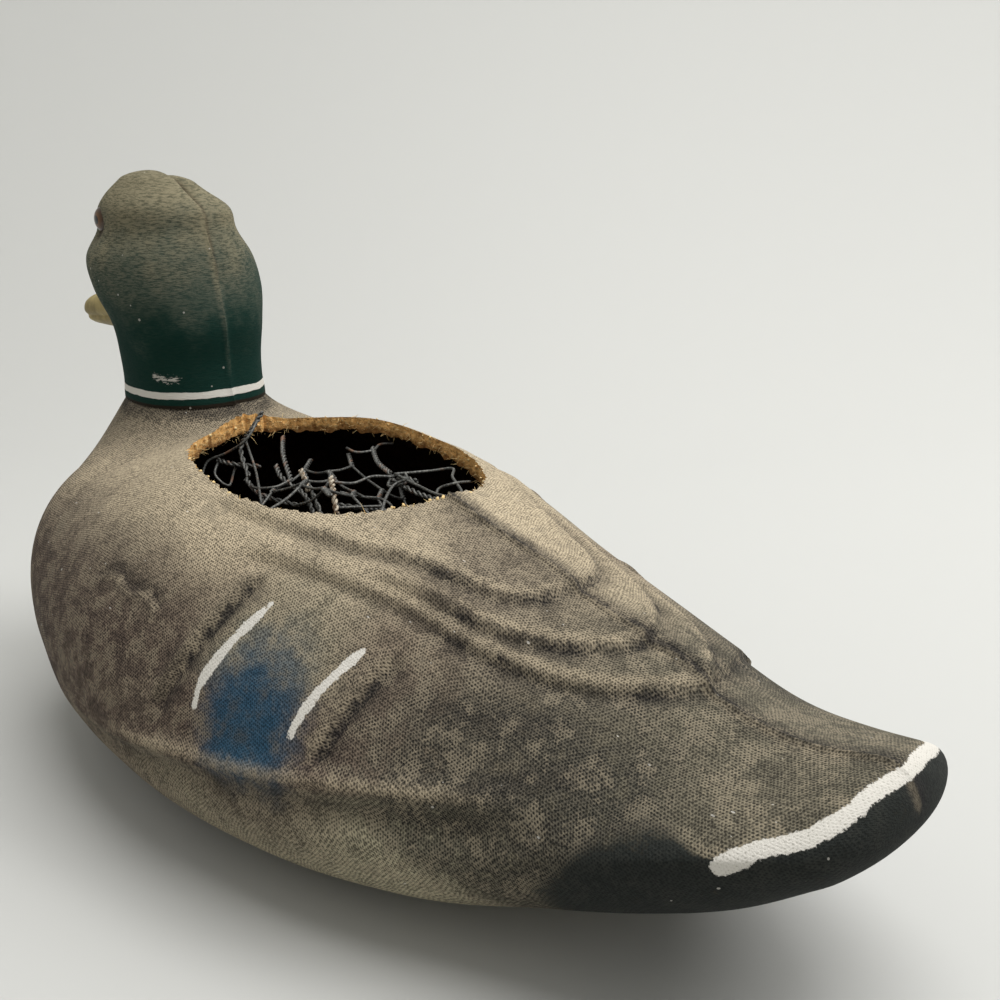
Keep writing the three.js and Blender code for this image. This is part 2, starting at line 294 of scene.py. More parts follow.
def spline(points, count):
    """A smooth line through given points."""
    points = np.array(points, float)
    at = np.arange(len(points))
    share = np.linspace(0, len(points) - 1, count)
    return np.stack([smooth(at, points[:, i], share) for i in range(points.shape[1])], axis=1)


def lifted(points):
    """A line drawn in plan, laid on the body's upper surface."""
    line = spline(points, 48)
    return np.column_stack([line, body_top(line[:, 0], line[:, 1])])


def nearest(line, places):
    """Distance from each place to a line, the share of the line's length there, and the side."""
    best = np.full(len(places), 1e9)
    share = np.zeros(len(places))
    side = np.zeros(len(places))
    for i in range(len(line) - 1):
        start, run = line[i], line[i + 1] - line[i]
        offset = places - start
        t = np.clip(offset @ run / (run @ run), 0, 1)
        distance = np.linalg.norm(offset - t[:, None] * run, axis=1)
        closer = distance < best
        best[closer] = distance[closer]
        share[closer] = (i + t[closer]) / (len(line) - 1)
        turn = run[0] * offset[:, 1] - run[1] * offset[:, 0]
        side[closer] = np.sign(turn[closer])
    return best, share, side


def mirrored(places):
    return places * [1, 0, 1] + np.abs(places) * [0, 1, 0]


def across_path(path, places):
    """How far places are to the left of a path drawn in plan, and their share of its length."""
    distance, share, side = nearest(lifted(path), places)
    return distance * side, share


def line_away(out, middle, start, ends, fade=FADE):
    """Distance to a dark or light line that runs along a mark and fades out at its ends."""
    return np.abs(out - middle) + start + fade * (1 - ends)


def feather_marks(places):
    """Relief of the moulded feathers and creases, and distances to their dark and light lines, partly
    painted shade and highlight.
    """
    near = mirrored(places)
    relief = np.zeros(len(places))
    dark = [np.full(len(places), FAR_AWAY)]
    light = [np.full(len(places), FAR_AWAY)]

    for path in FEATHER_EDGES:
        out, share = across_path(path, near)
        out = -out
        ends = step(share, 0, 0.12)
        inside = 1 - step(out, -1.2, 1.8)
        rise = FEATHER_STEP * inside * step(out, -FEATHER_FADE, -2)
        relief += ends * (rise - 0.8 * bump(out - 2.4, 2.4))
        marked = step(share, 0.06, 0.36)
        uneven = 0.8 + 0.8 * np.sin(share * 19 + path[0][0])
        # Dark line below each feather's step: paint and painted shade. Light line on its top: rubbed paint
        # and painted highlight
        dark.append(line_away(out, 1.6, uneven, marked, LONG_FADE))
        light.append(line_away(out, -2.2, 0, marked, LONG_FADE))

    out, share = across_path(FAR_EDGE, near)
    right = step(-places[:, 1], 0, 4)
    relief += FAR_STEP * right * (1 - step(out, -1.2, 1.2)) * step(out, -50, -4)
    # Painted shade below the higher hindmost edge
    dark.append(line_away(out, 1.2, 0.6, right, LONG_FADE))

    for path in WING_CREASES:
        out, share = across_path(path, near)
        ends = step(share, 0, 0.12) * (1 - step(share, 0.9, 1))
        relief += ends * (0.8 * bump(out + 1.8, 1.6) - 1.5 * bump(out - 1.4, 2.2))
        # Painted shade in the crease, painted highlight on the rise beside it
        dark.append(line_away(out, 1.2, -0.6, ends))
        light.append(line_away(out, -1.6, 0.4, ends))

    for path in SMUDGES:
        out, share = across_path(path, near)
        ends = step(share, 0, 0.25) * (1 - step(share, 0.75, 1))
        dark.append(line_away(out, 0, 1.2, ends))

    out, share = across_path(WRINKLE, near)
    ends = step(share, 0, 0.2) * (1 - step(share, 0.8, 1))
    out = out + 1.2 * np.sin(share * 17)
    relief += ends * (0.6 * bump(out + 1.5, 1.4) - 0.7 * bump(out - 1, 1.2))
    # Painted shade in the wrinkle, painted highlight on the rise beside it
    dark.append(line_away(out, 0.8, 0.6, ends))
    light.append(line_away(out, -1.2, 1, ends))

    x, z = near[:, 0], near[:, 2]
    above = z - FLANK["height"] + FLANK["fall"] * x
    ends = step(x, FLANK["from"], FLANK["from"] + 30) * (1 - step(x, FLANK["to"] - 70, FLANK["to"]))
    ridge = bump(above, FLANK["width"]) - bump(above + FLANK["groove"], 5)
    relief += FLANK["rise"] * ends * ridge
    # Painted shade in the groove under the flank ridge, painted highlight along the ridge
    dark.append(line_away(above, 2 - FLANK["groove"], 0.9, ends, LONG_FADE))
    light.append(line_away(above, 1.2, 0.6, ends, LONG_FADE))

    seam = places[:, 1] - seam_wobble(x)
    on_spine = step(z, 58, 66) * (1 - step(x, 190, 230))
    # Along the spine's seam: a dark line, the dark joint with painted shade, and a light line, rubbed
    # paint with painted highlight
    dark.append(line_away(seam, -1.1, 0.1, on_spine, LONG_FADE))
    light.append(line_away(seam, 0.8, 1, on_spine, LONG_FADE))
    return relief, np.minimum.reduce(dark), np.minimum.reduce(light)


def undulation(places):
    """The slow unevenness of a thing moulded by hand."""
    x, y, z = places.T
    long_waves = np.sin(x / 17 + y / 23) * np.sin(z / 13 + 1)
    short_waves = np.sin(x / 9 - z / 11 + 2) * np.sin(y / 12)
    return 0.35 * (long_waves + 0.6 * short_waves)


def seam_wobble(x):
    """How far the seam wanders off the middle of the back."""
    return 0.9 * np.sin(x / 19) + 0.5 * np.sin(x / 7 + 1)


def back_seam(places):
    """The join of the two moulded halves along the spine: a thin ridge, one side standing higher."""
    x, y, z = places.T
    across = y - seam_wobble(x)
    on_top = step(z, 58, 66) * (1 - step(x, 250, 262))
    overlap = 0.3 + 0.7 * step(x, 100, 150)
    higher = overlap * step(-across, -0.5, 0.5) * (1 - step(-across, 2, 16))
    return on_top * (0.7 * bump(across, 0.9) + higher)


def body_relief(places):
    fine = feather_marks(places)[0] + undulation(places) + back_seam(places)
    x = places[:, 0]
    return fine * step(x, 0, 8) * (1 - step(x, 318, 340))


def from_head_seam(places):
    """How far places are to the left of the seam round the head."""
    return places[:, 1] + 0.6 * np.sin(places[:, 2] / 9)


def swelling(places, ahead, side, up, width):
    """A rounded rise about a place that is given from the middle of the neck's foot."""
    middle = np.array([NECK_X, 0, NECK_Z]) + [ahead, side, up]
    return bump(np.linalg.norm(places - middle, axis=1), width)


def head_relief(places):
    """Brow, eye socket, cheek and the seam up the back of the head, which parts at the crown."""
    near = mirrored(places)
    x, z = near[:, 0], near[:, 2]
    ahead, side, up = EYE["ahead"], EYE["side"], EYE["up"]
    socket = -1.9 * swelling(near, ahead, side, up - 2, 6.5)
    brow = 0.9 * swelling(near, ahead - 2, side - 3, up + 11, 8)
    cheek = 0.7 * swelling(near, ahead - 9, side + 5, up - 16, 12)
    across = from_head_seam(places)
    behind = 1 - step(x, NECK_X + 30, NECK_X + 44)
    crown = step(z, NECK_Z + 68, NECK_Z + 80)
    lower = step(-across, 0, 1.2) * (1 - step(-across, 3, 16))
    ridge = (1 - crown) * (0.6 * bump(across, 1.0) - 0.6 * lower)
    notch = -crown * (1.4 * bump(across + 0.6, 2.4) + 1.7 * step(-across, -0.8, 1.4))
    lip = 0.5 * (1 - step(z, NECK_Z + 1, NECK_Z + 8))
    return socket + brow + cheek + behind * (ridge + notch) + lip + 0.6 * undulation(places * 1.7)


# Meshes


def signed_volume(points, faces):
    """Above zero when the faces look outwards. A few thousand faces are enough to tell."""
    some = faces[:: max(1, len(faces) // 4000)]
    corners = np.array([(f[0], f[i], f[i + 1]) for f in some for i in range(1, len(f) - 1)])
    a, b, c = (points[corners[:, i]] - points.mean(axis=0) for i in range(3))
    return np.einsum("ij,ij->i", a, np.cross(b, c)).sum()


def world_object(name, points, faces, materials=()):
    """A smooth mesh from points in metres."""
    mesh = bpy.data.meshes.new(name)
    mesh.from_pydata(np.asarray(points).tolist(), [], faces)
    mesh.polygons.foreach_set("use_smooth", np.ones(len(mesh.polygons), dtype=bool))
    mesh.update()
    for material in materials:
        mesh.materials.append(material)
    made = bpy.data.objects.new(name, mesh)
    bpy.context.scene.collection.objects.link(made)
    return made


def new_object(name, points, faces, materials=()):
    """A smooth mesh from points in millimetres, in station coordinates."""
    return world_object(name, (np.asarray(points) + [TAIL_X, 0, 0]) * MM, faces, materials)


def band_faces(first, rings, around):
    """Faces between neighbouring rings of points, whose numbers start at the first."""
    index = first + np.arange(rings * around).reshape(rings, around)
    turned = np.roll(index, -1, axis=1)
    return np.stack([index[:-1], turned[:-1], turned[1:], index[1:]], axis=2).reshape(-1, 4).tolist()


def tube_faces(first, rings, sides):
    """Faces of a tube with flat ends."""
    start = tuple(range(first, first + sides))
    last = first + (rings - 1) * sides
    return band_faces(first, rings, sides) + [start[::-1], tuple(range(last, last + sides))]


def loft(name, start, rings, end, materials=()):
    """A closed surface through rings of points, ending in a point at both ends."""
    count, around = rings.shape[:2]
    points = np.concatenate([[start], rings.reshape(-1, 3), [end]])
    tip = len(points) - 1
    last = tip - around
    faces = band_faces(1, count, around)
    faces += [(0, 1 + (k + 1) % around, 1 + k) for k in range(around)]
    faces += [(tip, last + k, last + (k + 1) % around) for k in range(around)]
    if signed_volume(points, faces) < 0:
        faces = [face[::-1] for face in faces]
    return new_object(name, points, faces, materials)


def body_loft(name, start, end, tail_round, breast_round, inset, ends, steps, places, relief):
    """The body's outside, or the hollow in it."""
    stations = body_stations(start, end, tail_round, breast_round, ends, steps)
    shares = fullness(stations, start, end, tail_round, breast_round)
    rings = relieved(body_rings(stations, shares, inset, places), relief)
    first, last = ([station, 0, float(body_value("beam", station))] for station in (start, end))
    return loft(name, first, rings, last)


def relieved(rings, relief):
    """The rings pushed out along their normals by the relief there, kept inside the CAD's box."""
    out = relief(rings.reshape(-1, 3)).reshape(rings.shape[:2])
    moved = rings + grid_normals(rings) * out[..., None]
    moved[..., 1] = np.clip(moved[..., 1], 0.02 - HALF_BREADTH, HALF_BREADTH - 0.02)
    moved[..., 2] = np.minimum(moved[..., 2], CROWN_Z)
    return moved


def outline_at(outline, share, names):
    """An outline's named values at a share of its length."""
    return [float(smooth(outline["at"], outline[name], share)) for name in names]


def head_ring(share, inset, around):
    centre, front, back, half = outline_at(HEAD, share, ("centre", "front", "back", "half"))
    left = float(rounding(1 - share, 1 - CROWN_SHARE))
    angle = turns(around)
    reach = np.where(np.cos(angle) > 0, front, back) - inset
    x = centre + reach * left * power(np.cos(angle), 2 / HEAD_SQUARE)
    y = (half - inset) * left * power(np.sin(angle), 2 / HEAD_SQUARE)
    return xyz(NECK_X + x, y, NECK_Z + HEAD_HEIGHT * share)


def head_loft(name, inset, steps, around, relief=None):
    """Neck and head, or the hollow in them."""
    low = np.linspace(0, CROWN_SHARE, steps, endpoint=False)
    cap = CROWN_SHARE + (1 - CROWN_SHARE) * np.sin(np.radians(np.linspace(0, 84, 12)))
    rings = np.array([head_ring(share, inset, around) for share in np.concatenate([low, cap])])
    if relief:
        rings = relieved(rings, relief)
    rings[..., 2] = NECK_Z + (rings[..., 2] - NECK_Z) * (1 - inset / HEAD_HEIGHT)
    foot = [NECK_X + HEAD["centre"][0], 0, rings[0, 0, 2]]
    crown = [NECK_X + outline_at(HEAD, 1, ["centre"])[0], 0, rings[-1, :, 2].mean()]
    return loft(name, foot, rings, crown)


def neck_foot(name, inset, steps, around):
    """The foot of the neck: each line leaves the neck outwards and meets the body along its slope."""
    axis = NECK_X + HEAD["centre"][0]
    start = head_ring(0, inset, around)
    angle = np.arctan2(start[:, 1] / HEAD["half"][0], (start[:, 0] - axis) / HEAD["front"][0])
    reach = np.where(np.cos(angle) > 0, FOOT["ahead"], FOOT["behind"])

    def place(share):
        x = axis + (reach - inset) * share * np.cos(angle)
        y = (FOOT["side"] - inset) * share * np.sin(angle)
        return xyz(x, y, body_top(x, y, inset) - 0.3)

    end = place(1)
    slope = unit(place(0.96) - end)
    span = np.linalg.norm(start - end, axis=1)[:, None]
    tilt = math.radians(FOOT["angle"])
    away = xyz(math.sin(tilt) * np.cos(angle), math.sin(tilt) * np.sin(angle), -math.cos(tilt))
    first, second = start + away * span * 0.25, end + slope * span * 0.4
    t = np.linspace(0, 1, steps + 1)[:, None, None]
    middle = 3 * t * (1 - t) ** 2 * first + 3 * t * t * (1 - t) * second
    rings = (1 - t) ** 3 * start + middle + t**3 * end
    lowest = rings[-1, :, 2].min()
    return loft(name, [axis, 0, NECK_Z + 0.3], rings, [axis, 0, lowest - WALL])


def bill_loft(name, steps, around):
    """The bill, with its nail, the line between the mandibles and two nostrils."""
    root = NECK_X + BILL_ROOT
    angle = turns(around)
    rings = []
    for i in range(steps + 1):
        share = math.sin(i / steps * math.pi / 2) * 0.998
        half, top, under = outline_at(BILL, share, ("half", "top", "under"))
        left = float(rounding(1 - share, BILL_ROUND))
        middle, thick = (top + under) / 2, (top - under) / 2
        y = half * left * power(np.cos(angle), 2 / BILL_SQUARE)
        z = thick * left * power(np.sin(angle), 2 / BILL_SQUARE)
        gape = 1 - 0.09 * bump(z + thick * 0.35, 1.0)
        nostril = 1 - 0.08 * bump(share - 0.42, 0.06) * bump(z - thick * 0.6, 1.6)
        nail = 1 - 0.06 * bump(share - 0.84, 0.03) * step(z, 0, 3) * (1 - step(np.abs(y), 4, 6))
        x = root + share * BILL_LENGTH
        rings.append(xyz(x, y * gape * nostril, NECK_Z + middle + z * nail))
    first, last = (NECK_Z + (BILL["top"][i] + BILL["under"][i]) / 2 for i in (0, -1))
    start = [root - 0.02 * BILL_LENGTH, 0, first]
    return loft(name, start, np.array(rings), [root + BILL_LENGTH, 0, last])


def rim(angle, out=0):
    """The opening's edge in plan at an angle round its middle, moved outwards by so much."""
    reach = 1 + 0.02 * np.cos(3 * angle + 1) + 0.012 * np.cos(5 * angle + 2)
    out = out + RIM_SHIFT * np.cos(angle - RIM_TURN)
    x = HOLE_X + (HOLE_HALF_LENGTH * reach + out) * np.cos(angle)
    return x, (HOLE_HALF_WIDTH * reach + out) * np.sin(angle)


def hole_cutter(name, around):
    """The sawn and torn opening: an uneven oval prism with a fibrous wall."""
    angle = turns(around)
    low, high = 70, 130
    torn = 0
    for k in range(1, 17):
        height = rng.normal(0, 0.6 / k**0.5)
        torn = torn + height * np.cos(angle * 7 * k + rng.uniform(0, 6.3))
    rings = []
    for level in np.linspace(low, high, 31):
        layers = np.sin(level / 2.1 + angle * 31) * 0.2 + np.sin(level / 1.1 + angle * 57) * 0.1
        x, y = rim(angle, RIM_RAGGED * torn + layers + rng.normal(0, 0.08, around))
        rings.append(xyz(x, y, level))
    return loft(name, [HOLE_X, 0, low - 0.5], np.array(rings), [HOLE_X, 0, high + 0.5])


def ground_block():
    """What is cut away under the flat that the duck rests on."""
    xs, ys, zs = (-20, 400), (-120, 120), (-30, 0)
    corners = np.array([[x, y, z] for x in xs for y in ys for z in zs])
    faces = [(0, 1, 3, 2), (4, 6, 7, 5), (0, 4, 5, 1), (2, 3, 7, 6), (0, 2, 6, 4), (1, 5, 7, 3)]
    return new_object("ground_block", corners, faces)


# Shader building


def linear(*rgb):
    """An sRGB colour from 0 to 255 as linear RGBA."""
    scaled = [c / 255 for c in rgb]
    return [c / 12.92 if c <= 0.04045 else ((c + 0.055) / 1.055) ** 2.4 for c in scaled] + [1]


class Shader:
    """A material whose nodes are made by short calls. Sockets and numbers can both be inputs."""

    def __init__(self, name):
        self.material = bpy.data.materials.new(name)
        self.material.use_nodes = True
        self.tree = self.material.node_tree
        self.bsdf = self.tree.nodes["Principled BSDF"]

    def node(self, kind, inputs, **settings):
        made = self.tree.nodes.new(kind)
        for key, value in settings.items():
            setattr(made, key, value)
        for key, value in inputs.items():
            self.put(value, made.inputs[key])
        return made

    def put(self, value, socket):
        if isinstance(value, bpy.types.NodeSocket):
            self.tree.links.new(value, socket)
        else:
            socket.default_value = value

    def math(self, operation, a, b=0, c=0):
        return self.node("ShaderNodeMath", {0: a, 1: b, 2: c}, operation=operation).outputs[0]

    def add(self, a, b):
        return self.math("ADD", a, b)

    def times(self, a, b):
        return self.math("MULTIPLY", a, b)

    def muladd(self, a, b, c):
        return self.math("MULTIPLY_ADD", a, b, c)

    def highest(self, a, b):
        return self.math("MAXIMUM", a, b)

    def ramp(self, value, low, high, start=0, end=1):
        inputs = {0: value, 1: low, 2: high, 3: start, 4: end}
        return self.node("ShaderNodeMapRange", inputs, interpolation_type="SMOOTHSTEP").outputs[0]

    def mix(self, share, a, b):
        made = self.tree.nodes.new("ShaderNodeMix")
        made.data_type = "RGBA"
        for socket, value in zip((made.inputs[0], made.inputs[6], made.inputs[7]), (share, a, b)):
            self.put(value, socket)
        return made.outputs[2]

    def scaled(self, colour, share):
        return self.node("ShaderNodeVectorMath", {0: colour, "Scale": share}, operation="SCALE").outputs[0]

    def noise(self, place, scale, detail=3, roughness=0.55):
        inputs = {"Vector": place, "Scale": scale, "Detail": detail, "Roughness": roughness}
        return self.node("ShaderNodeTexNoise", inputs).outputs[0]

    def attribute(self, name):
        return self.node("ShaderNodeAttribute", {}, attribute_name=name).outputs["Fac"]

    def place(self, stretch=(1, 1, 1)):
        """Station coordinates in millimetres, stretched along each axis."""
        coordinates = self.node("ShaderNodeTexCoord", {}).outputs["Object"]
        scale = [s / MM for s in stretch]
        offset = [-TAIL_X * stretch[0], 0, 0]
        inputs = {"Vector": coordinates, "Location": offset, "Scale": scale}
        return self.node("ShaderNodeMapping", inputs).outputs[0]

    def split(self, vector):
        return self.node("ShaderNodeSeparateXYZ", {0: vector}).outputs

    def bump(self, height, depth):
        """Bump of a height from 0 to 1, depth millimetres deep."""
        inputs = {"Height": height, "Distance": depth * MM, "Strength": 1}
        return self.node("ShaderNodeBump", inputs).outputs[0]

    def finish(self, colour, roughness, normal=None, **fixed):
        self.put(colour, self.bsdf.inputs["Base Color"])
        self.put(roughness, self.bsdf.inputs["Roughness"])
        if normal:
            self.put(normal, self.bsdf.inputs["Normal"])
        for key, value in fixed.items():
            self.bsdf.inputs[key.replace("_", " ")].default_value = value
        return self.material


def weave(shader, place, uneven):
    """The mould screen's print: a lattice of small pits, from 0 in a pit to 1 between them."""
    drift = shader.muladd(uneven, 0.1, shader.noise(place, 0.06, 1))
    u = shader.muladd(drift, 4, shader.attribute("weave_u"))
    v = shader.muladd(drift, -3, shader.attribute("weave_v"))
    rate = 4 * math.pi / (math.sqrt(3) * PRINT_PERIOD)
    total = 0
    for turn in (90, 30, -30):
        along_u = shader.times(u, rate * math.cos(math.radians(turn)))
        wave = shader.muladd(v, rate * math.sin(math.radians(turn)), along_u)
        total = shader.add(shader.math("COSINE", wave), total)
    # The three waves add up to 3 in a pit and to -1.5 furthest from one
    return shader.muladd(total, -1 / 4.5, 2 / 3)


def specks(shader, place, scale, share):
    """A mask of small sparse specks of uneven size."""
    inputs = {"Vector": place, "Scale": scale, "Randomness": 1}
    cells = shader.node("ShaderNodeTexVoronoi", inputs, feature="F1")
    chance = shader.split(cells.outputs["Color"])[0]
    reach = shader.ramp(chance, 0, share, 0.2, 0.05)
    small = shader.math("LESS_THAN", cells.outputs["Distance"], reach)
    return shader.times(small, shader.math("LESS_THAN", chance, share))


# Paints and stuffs

TAUPE_PALE = linear(168, 154, 130)
TAUPE = linear(108, 98, 84)
TAUPE_GREY = linear(158, 152, 128)
TAIL_GREY = linear(80, 78, 66)
PURPLE_BROWN = linear(74, 62, 55)
GREY_BLACK = linear(38, 39, 37)
# For the dark lines: paint, dirt and painted shade
DARK_LINE_AND_SHADE_BLACK = linear(26, 25, 27)
CHARCOAL = linear(33, 36, 34)
PAINT_WHITE = linear(208, 204, 196)
CHALK_GREY = linear(168, 164, 154)
WING_BLUE = linear(32, 65, 86)
HEAD_GREEN = linear(14, 45, 39)
HEAD_TEAL = linear(54, 68, 60)
HEAD_WORN = linear(114, 109, 87)
HEAD_DIRT = linear(22, 26, 24)
SEAM_AND_SOCKET_SHADE_BROWN = linear(40, 26, 18)
BILL_OLIVE = linear(116, 102, 54)
BILL_YELLOW = linear(164, 146, 90)
BILL_FLECK = linear(60, 54, 34)
PULP_SHADE_BLACK = linear(20, 14, 10)
PULP_SHADE_BROWN = linear(62, 42, 26)
FIBRE_OCHRE = linear(234, 182, 114)
FIBRE_DARK = linear(132, 84, 44)
FIBRE_PALE = linear(230, 204, 150)
FIBRE_INNER = linear(92, 54, 26)
FIBRE_DEEP = linear(70, 38, 18)
IRIS_AMBER = linear(98, 62, 24)
IRIS_BROWN = linear(56, 36, 16)
IRIS_RIM = linear(36, 20, 12)
PUPIL_BLACK = linear(8, 7, 7)
ZINC_DARK = linear(58, 59, 58)
ZINC_PALE = linear(118, 117, 112)
RUST = linear(120, 84, 60)
CRUST_BROWN = linear(120, 98, 76)
CRUST_PALE = linear(196, 186, 168)
BACKDROP_GREY = linear(193, 193, 190)
ROOM_WHITE = linear(238, 238, 234)


def body_paint(s, place, blotch):
    """Pale round the opening and on the right of the back, darker down the sides, grey at the tail."""
    axes = s.split(place)
    x, z = axes[0], axes[2]
    level = s.muladd(blotch, 44, s.add(z, s.attribute("pale")))
    colour = s.mix(s.ramp(level, 96, 134), TAUPE, TAUPE_PALE)
    colour = s.mix(s.ramp(x, 135, 48, 0, 0.72), colour, TAIL_GREY)
    low = s.times(s.ramp(z, 96, 66), s.ramp(x, 90, 140))
    colour = s.mix(s.times(low, s.ramp(blotch, 0.3, 0.55, 0.7, 1)), colour, PURPLE_BROWN)
    above_ridge = s.muladd(x, FLANK["fall"], s.math("SUBTRACT", z, FLANK["height"]))
    under = s.times(s.ramp(above_ridge, 0.5, -3.5), s.ramp(x, 215, 130, 0.25, 1))
    under = s.times(under, s.ramp(x, 62, 104))
    return s.mix(s.times(under, 0.7), colour, TAUPE_GREY)


def wing_patch(s, place, patches, colour):
    """Blue between the bars, fading out upwards into grey and downwards into brown."""
    z = s.split(place)[2]
    away = s.muladd(patches, 0.8, s.attribute("blue"))
    halo = s.times(s.ramp(away, 2.5, 1.5, 0, 0.4), s.ramp(z, 58, 70))
    colour = s.mix(halo, colour, TAUPE_GREY)
    shade = s.times(s.ramp(away, 3, 1.3), s.ramp(z, 66, 52))
    colour = s.mix(s.times(shade, 0.75), colour, PURPLE_BROWN)
    blue = s.ramp(away, 1.8, 0.8, 0, 0.97)
    return s.mix(blue, colour, WING_BLUE), blue


def soot(s, patches, uneven, colour):
    """Sooty mottling on the rear flank, and the charcoal underside of the tail."""
    rear = s.attribute("rear")
    mottled = s.ramp(s.muladd(rear, 0.16, patches), 0.5, 0.66)
    colour = s.mix(s.times(mottled, s.muladd(rear, 0.42, 0.4)), colour, GREY_BLACK)
    blackened = s.ramp(s.muladd(uneven, 2, s.attribute("undertail")), 0.2, 0.8)
    return s.mix(blackened, colour, CHARCOAL), blackened


def painted_body():
    """Worn paint over the screen print: wing patch, soot, white lines, dirt and painted shade and
    highlight.
    """
    s = Shader("painted_body")
    place = s.place()
    blotch = s.noise(place, 0.045, 3, 0.62)
    grain = s.noise(place, 1.3, 3, 0.7)
    patches = s.noise(place, 0.13, 4, 0.7)
    pits = weave(s, place, grain)
    uneven = s.muladd(grain, 0.5, s.muladd(patches, 0.9, -0.7))

    colour = body_paint(s, place, blotch)
    colour, blue = wing_patch(s, place, patches, colour)
    colour, blackened = soot(s, patches, uneven, colour)

    # Raised edges: rubbed paint and painted highlight. Creases: dirt and painted shade, a dark core in a
    # softer shade
    rub_and_highlight_away = s.muladd(uneven, -3.5, s.attribute("rub_and_highlight_away"))
    colour = s.mix(s.ramp(rub_and_highlight_away, 3.4, 0.4, 0, 0.42), colour, TAUPE_PALE)
    dark_line_and_shade_away = s.attribute("dark_line_and_shade_away")
    core = s.ramp(s.muladd(grain, 1.2, dark_line_and_shade_away), 2.7, 1.1, 0, 0.86)
    shade = s.ramp(s.muladd(uneven, -2.2, dark_line_and_shade_away), 7, 0.8, 0, 0.5)
    colour = s.mix(s.highest(core, shade), colour, DARK_LINE_AND_SHADE_BLACK)

    # The print: pits stay dark, the net between them is rubbed lighter
    relief = s.muladd(pits, 0.36, s.times(grain, 1.3))
    relief = s.muladd(patches, 0.5, relief)
    worn = s.ramp(relief, 0.88, 1.34)
    covered = s.highest(blackened, s.times(blue, 0.9))
    rubbed = s.times(s.ramp(patches, 0.42, 0.62, 0.04, 0.3), s.muladd(covered, -0.95, 1))
    colour = s.mix(s.times(worn, rubbed), colour, TAUPE_PALE)
    contrast = s.times(s.math("SUBTRACT", worn, 0.5), s.muladd(covered, -0.45, 1.15))
    colour = s.scaled(colour, s.add(contrast, 0.92))
    colour = s.mix(s.times(specks(s, s.place((0.6, 1.5, 1)), 0.5, 0.04), 0.55), colour, PAINT_WHITE)

    # The white lines, ragged at their edges and thin where they cross the pits
    ragged = s.muladd(grain, 1.8, s.attribute("line_gap"))
    white = s.ramp(s.muladd(patches, 2.4, ragged), 2.3, 2)
    chalk = s.mix(s.ramp(relief, 0.7, 1.1), CHALK_GREY, PAINT_WHITE)
    colour = s.mix(white, colour, chalk)

    filled = s.muladd(s.highest(blackened, white), -0.35, 0.5)
    height = s.muladd(white, 0.5, s.muladd(pits, filled, grain))
    return s.finish(colour, 0.88, s.bump(height, PRINT_DEPTH), Specular_IOR_Level=0.2)


def painted_head():
    """Dark green below, worn to grey at the crown, with the white ring round the neck."""
    s = Shader("painted_head")
    place = s.place()
    z = s.split(place)[2]
    streaks = s.noise(s.place((0.3, 0.3, 1.5)), 1.3, 3, 0.74)
    blotch = s.noise(place, 0.07, 3, 0.62)
    wear = s.muladd(streaks, 16, s.muladd(blotch, 46, z))
    # Lighter on the cheek, painted highlight, and along the seam, rubbed paint with painted highlight
    wear = s.add(s.ramp(s.attribute("rub_and_highlight_away"), 2.2, 0.2, 0, 15), wear)
    colour = s.mix(s.ramp(wear, 162, 192), HEAD_GREEN, HEAD_TEAL)
    colour = s.mix(s.ramp(wear, 186, 226), colour, HEAD_WORN)
    dirty, bare = s.mix(0.5, colour, HEAD_DIRT), s.mix(0.22, colour, TAUPE_PALE)
    rubbed = s.mix(s.ramp(streaks, 0.36, 0.58), dirty, bare)
    colour = s.mix(s.ramp(wear, 168, 205, 0.04, 0.85), colour, rubbed)
    # Darker round the eye and along the seam high on the head: painted shade in the socket, and the seam's
    # dark joint with painted shade
    colour = s.mix(s.ramp(s.attribute("dark_line_and_shade_away"), 8, 0.5, 0, 0.8), colour, SEAM_AND_SOCKET_SHADE_BROWN)
    colour = s.mix(s.times(specks(s, place, 0.4, 0.04), 0.5), colour, PAINT_WHITE)

    # The ring, and the smudge above it
    ring_away = s.math("ABSOLUTE", s.muladd(blotch, 1.6, s.math("SUBTRACT", z, RING_Z)))
    ragged = s.muladd(streaks, 0.5, s.math("SUBTRACT", ring_away, RING_WIDTH / 2))
    smudge = s.muladd(streaks, 9, s.attribute("line_gap"))
    white = s.highest(s.ramp(ragged, 0.3, 0.05), s.ramp(smudge, 4.6, 4, 0, 0.75))
    colour = s.mix(white, colour, PAINT_WHITE)
    height = s.muladd(white, 0.8, s.times(streaks, 0.9))
    return s.finish(colour, 0.78, s.bump(height, 0.3), Specular_IOR_Level=0.06)


def painted_bill():
    s = Shader("painted_bill")
    place = s.place()
    patchy = s.noise(place, 0.12, 3, 0.6)
    colour = s.mix(s.ramp(patchy, 0.3, 0.7), BILL_OLIVE, BILL_YELLOW)
    colour = s.mix(specks(s, place, 0.5, 0.05), colour, BILL_FLECK)
    return s.finish(colour, 0.55, s.bump(patchy, 0.3))


# The hollow's inside: pulp darkened almost to black, painted shade for the dark inside of the shell
def shaded_pulp_inside():
    s = Shader("shaded_pulp_inside")
    lumps = s.noise(s.place(), 0.3, 3, 0.65)
    colour = s.mix(lumps, PULP_SHADE_BLACK, PULP_SHADE_BROWN)
    return s.finish(colour, 0.95, s.bump(lumps, 1.2), Specular_IOR_Level=0.1)


